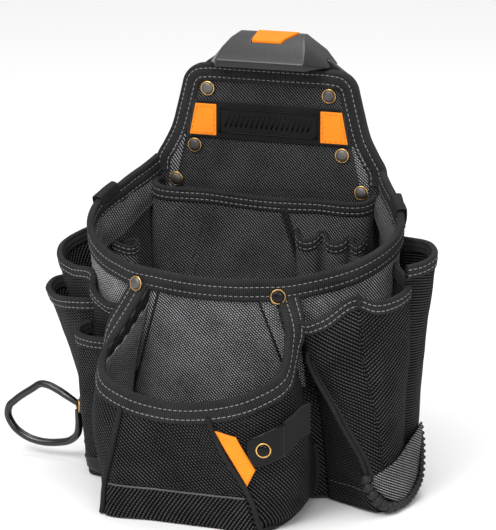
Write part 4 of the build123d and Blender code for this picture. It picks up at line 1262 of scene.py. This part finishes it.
def corner_guards():
    """Woven scuff patch with a toothed rubber cord on the right, a rolled foot on the left."""
    low = [(x, y, z) for (x, y), z in zip(GUARD_FOOT, GUARD_LOW)]
    high = [(x, y, z) for (x, y), z in zip(GUARD_WAIST, GUARD_TOP)]
    waist = (np.array(low) + np.array(high)) / 2
    grid = loft([low, waist, high], 8, 14)
    grid = grid + normals_of(grid) * 1.5
    grid = rumple(grid, 0.6, 20.0, 51.0, fade=5.0)
    shell("scuff_patch", grid, "patch", thick=1.6, upright=7, node="corner_guard_right")
    path = evenly(smooth(CORD, 14), 0.42)
    s = lengths(path)
    tooth = 0.5 + 0.5 * np.tanh(3.0 * np.sin(s * 2 * math.pi / TOOTH_PITCH))
    band = 1.0 - np.exp(-((np.sin(s * math.pi / BAND_PITCH) / 0.4) ** 2))
    share = np.clip((s - TEETH_FROM) / 6.0, 0.0, 1.0)
    taper = np.clip((s - s[-1] + 14.0) / 14.0, 0, 1)
    radius = 2.5 - 0.7 * share + (1.6 - 0.3 * share) * (band * (1 - share) + tooth * share) - 0.7 * taper
    tube("toothed_cord", path, radius, "rubber", sides=14, node="corner_guard_cord")
    for word, raised, spots in LEFT_FEET:
        rows = []
        for z, out in ((2.0, -3.0), (6.5, 2.4), (15.0, 2.6)):
            rows.append([(x * (1 + out * 0.008), y * (1 + out * 0.008), z + raised) for x, y in spots])
        grid = loft(rows, 9, 8)
        foot = rumple(grid, 0.5, 9.0, 71.0, fade=2.0)
        shell(f"left_foot_{word}", foot, "rubber", thick=2.2, node="corner_guard_left")
        tube(f"left_foot_{word}_roll", (grid + normals_of(grid) * 0.3)[:, -1], 1.7, "rubber", sides=10)


def hard_parts():
    """Rounded copies of the moulded parts, and looks for the small ones shown as they are."""
    for node, width, look in (
        ("dock_hood", 1.6, "hood_painted_shade"), ("release_button", 0.9, "button_orange"),
        ("dock_receiver", 0.8, "black_polymer"), ("hub_clip", 0.9, "black_polymer"),
        ("hub_wedge", 0.8, "black_polymer"), ("hub_flap", 0.8, "orange_polymer"),
    ):
        softened(node, width, look)
    for node, look in (
        ("dock_screws", "rivet_dark"), ("hub_hinge_pin", "steel"), ("button_spring", "steel"),
        ("latch_blade", "black_polymer"), ("snap_stud", "rivet_grey"),
    ):
        mesh = frame["nodes"][node].data
        mesh.materials.clear()
        mesh.materials.append(LOOKS[look])


# --- stage
def stage():
    """Pale floor, even studio light and the camera."""
    bpy.ops.mesh.primitive_plane_add(size=8.0, location=(0.0, 0.0, -0.0004))
    floor = bpy.context.object
    floor.name = "floor"
    pale = Graph("floor_pale", (0.9, 0.9, 0.9), 0.6)
    floor.data.materials.append(pale.material)
    world = bpy.data.worlds.new("studio")
    world.use_nodes = True
    world.node_tree.nodes["Background"].inputs["Color"].default_value = (1, 1, 1, 1)
    world.node_tree.nodes["Background"].inputs["Strength"].default_value = 0.52
    bpy.context.scene.world = world
    bpy.context.scene.view_settings.view_transform = "Standard"
    middle = Vector((0.0, -0.02, 0.16))
    for name, place, size, power in (
        ("key", (-0.4, -1.5, 1.5), 0.6, 12.0),
        ("fill", (1.1, -1.4, 0.9), 0.7, 8.0),
        ("rim", (0.1, 0.5, 1.7), 1.0, 12.0),
    ):
        lamp = bpy.data.objects.new(name, bpy.data.lights.new(name, "AREA"))
        bpy.context.scene.collection.objects.link(lamp)
        lamp.data.size = size
        lamp.data.energy = power
        lamp.location = place
        lamp.rotation_euler = (middle - Vector(place)).to_track_quat("-Z", "Y").to_euler()
    sky = bpy.data.objects.new("sky", bpy.data.lights.new("sky", "SUN"))
    bpy.context.scene.collection.objects.link(sky)
    sky.data.energy = 1.7
    sky.data.angle = math.radians(50.0)
    sky.rotation_euler = (math.radians(28.0), math.radians(-10.0), 0.0)
    camera = bpy.data.objects.new("camera", bpy.data.cameras.new("camera"))
    bpy.context.scene.collection.objects.link(camera)
    azimuth, elevation, distance = math.radians(20.0), math.radians(14.5), 2.0
    target = Vector((0.01194, -0.02, 0.17128))
    level = math.cos(elevation)
    back = Vector((math.sin(azimuth) * level, -math.cos(azimuth) * level, math.sin(elevation)))
    camera.location = target + back * distance
    camera.rotation_euler = (-back).to_track_quat("-Z", "Y").to_euler()
    camera.data.lens = 178.8
    bpy.context.scene.camera = camera


main_body()
main_rim()
side_tabs()
floor_panel()
tag(front_pocket())
side_pockets()
corner_guards()
back_panel()
board_trims()
label()
inner_organiser()
pen_pocket()
inner_loop_and_webs()
rivets()
hammer_loop()
strap()
hard_parts()
stage()
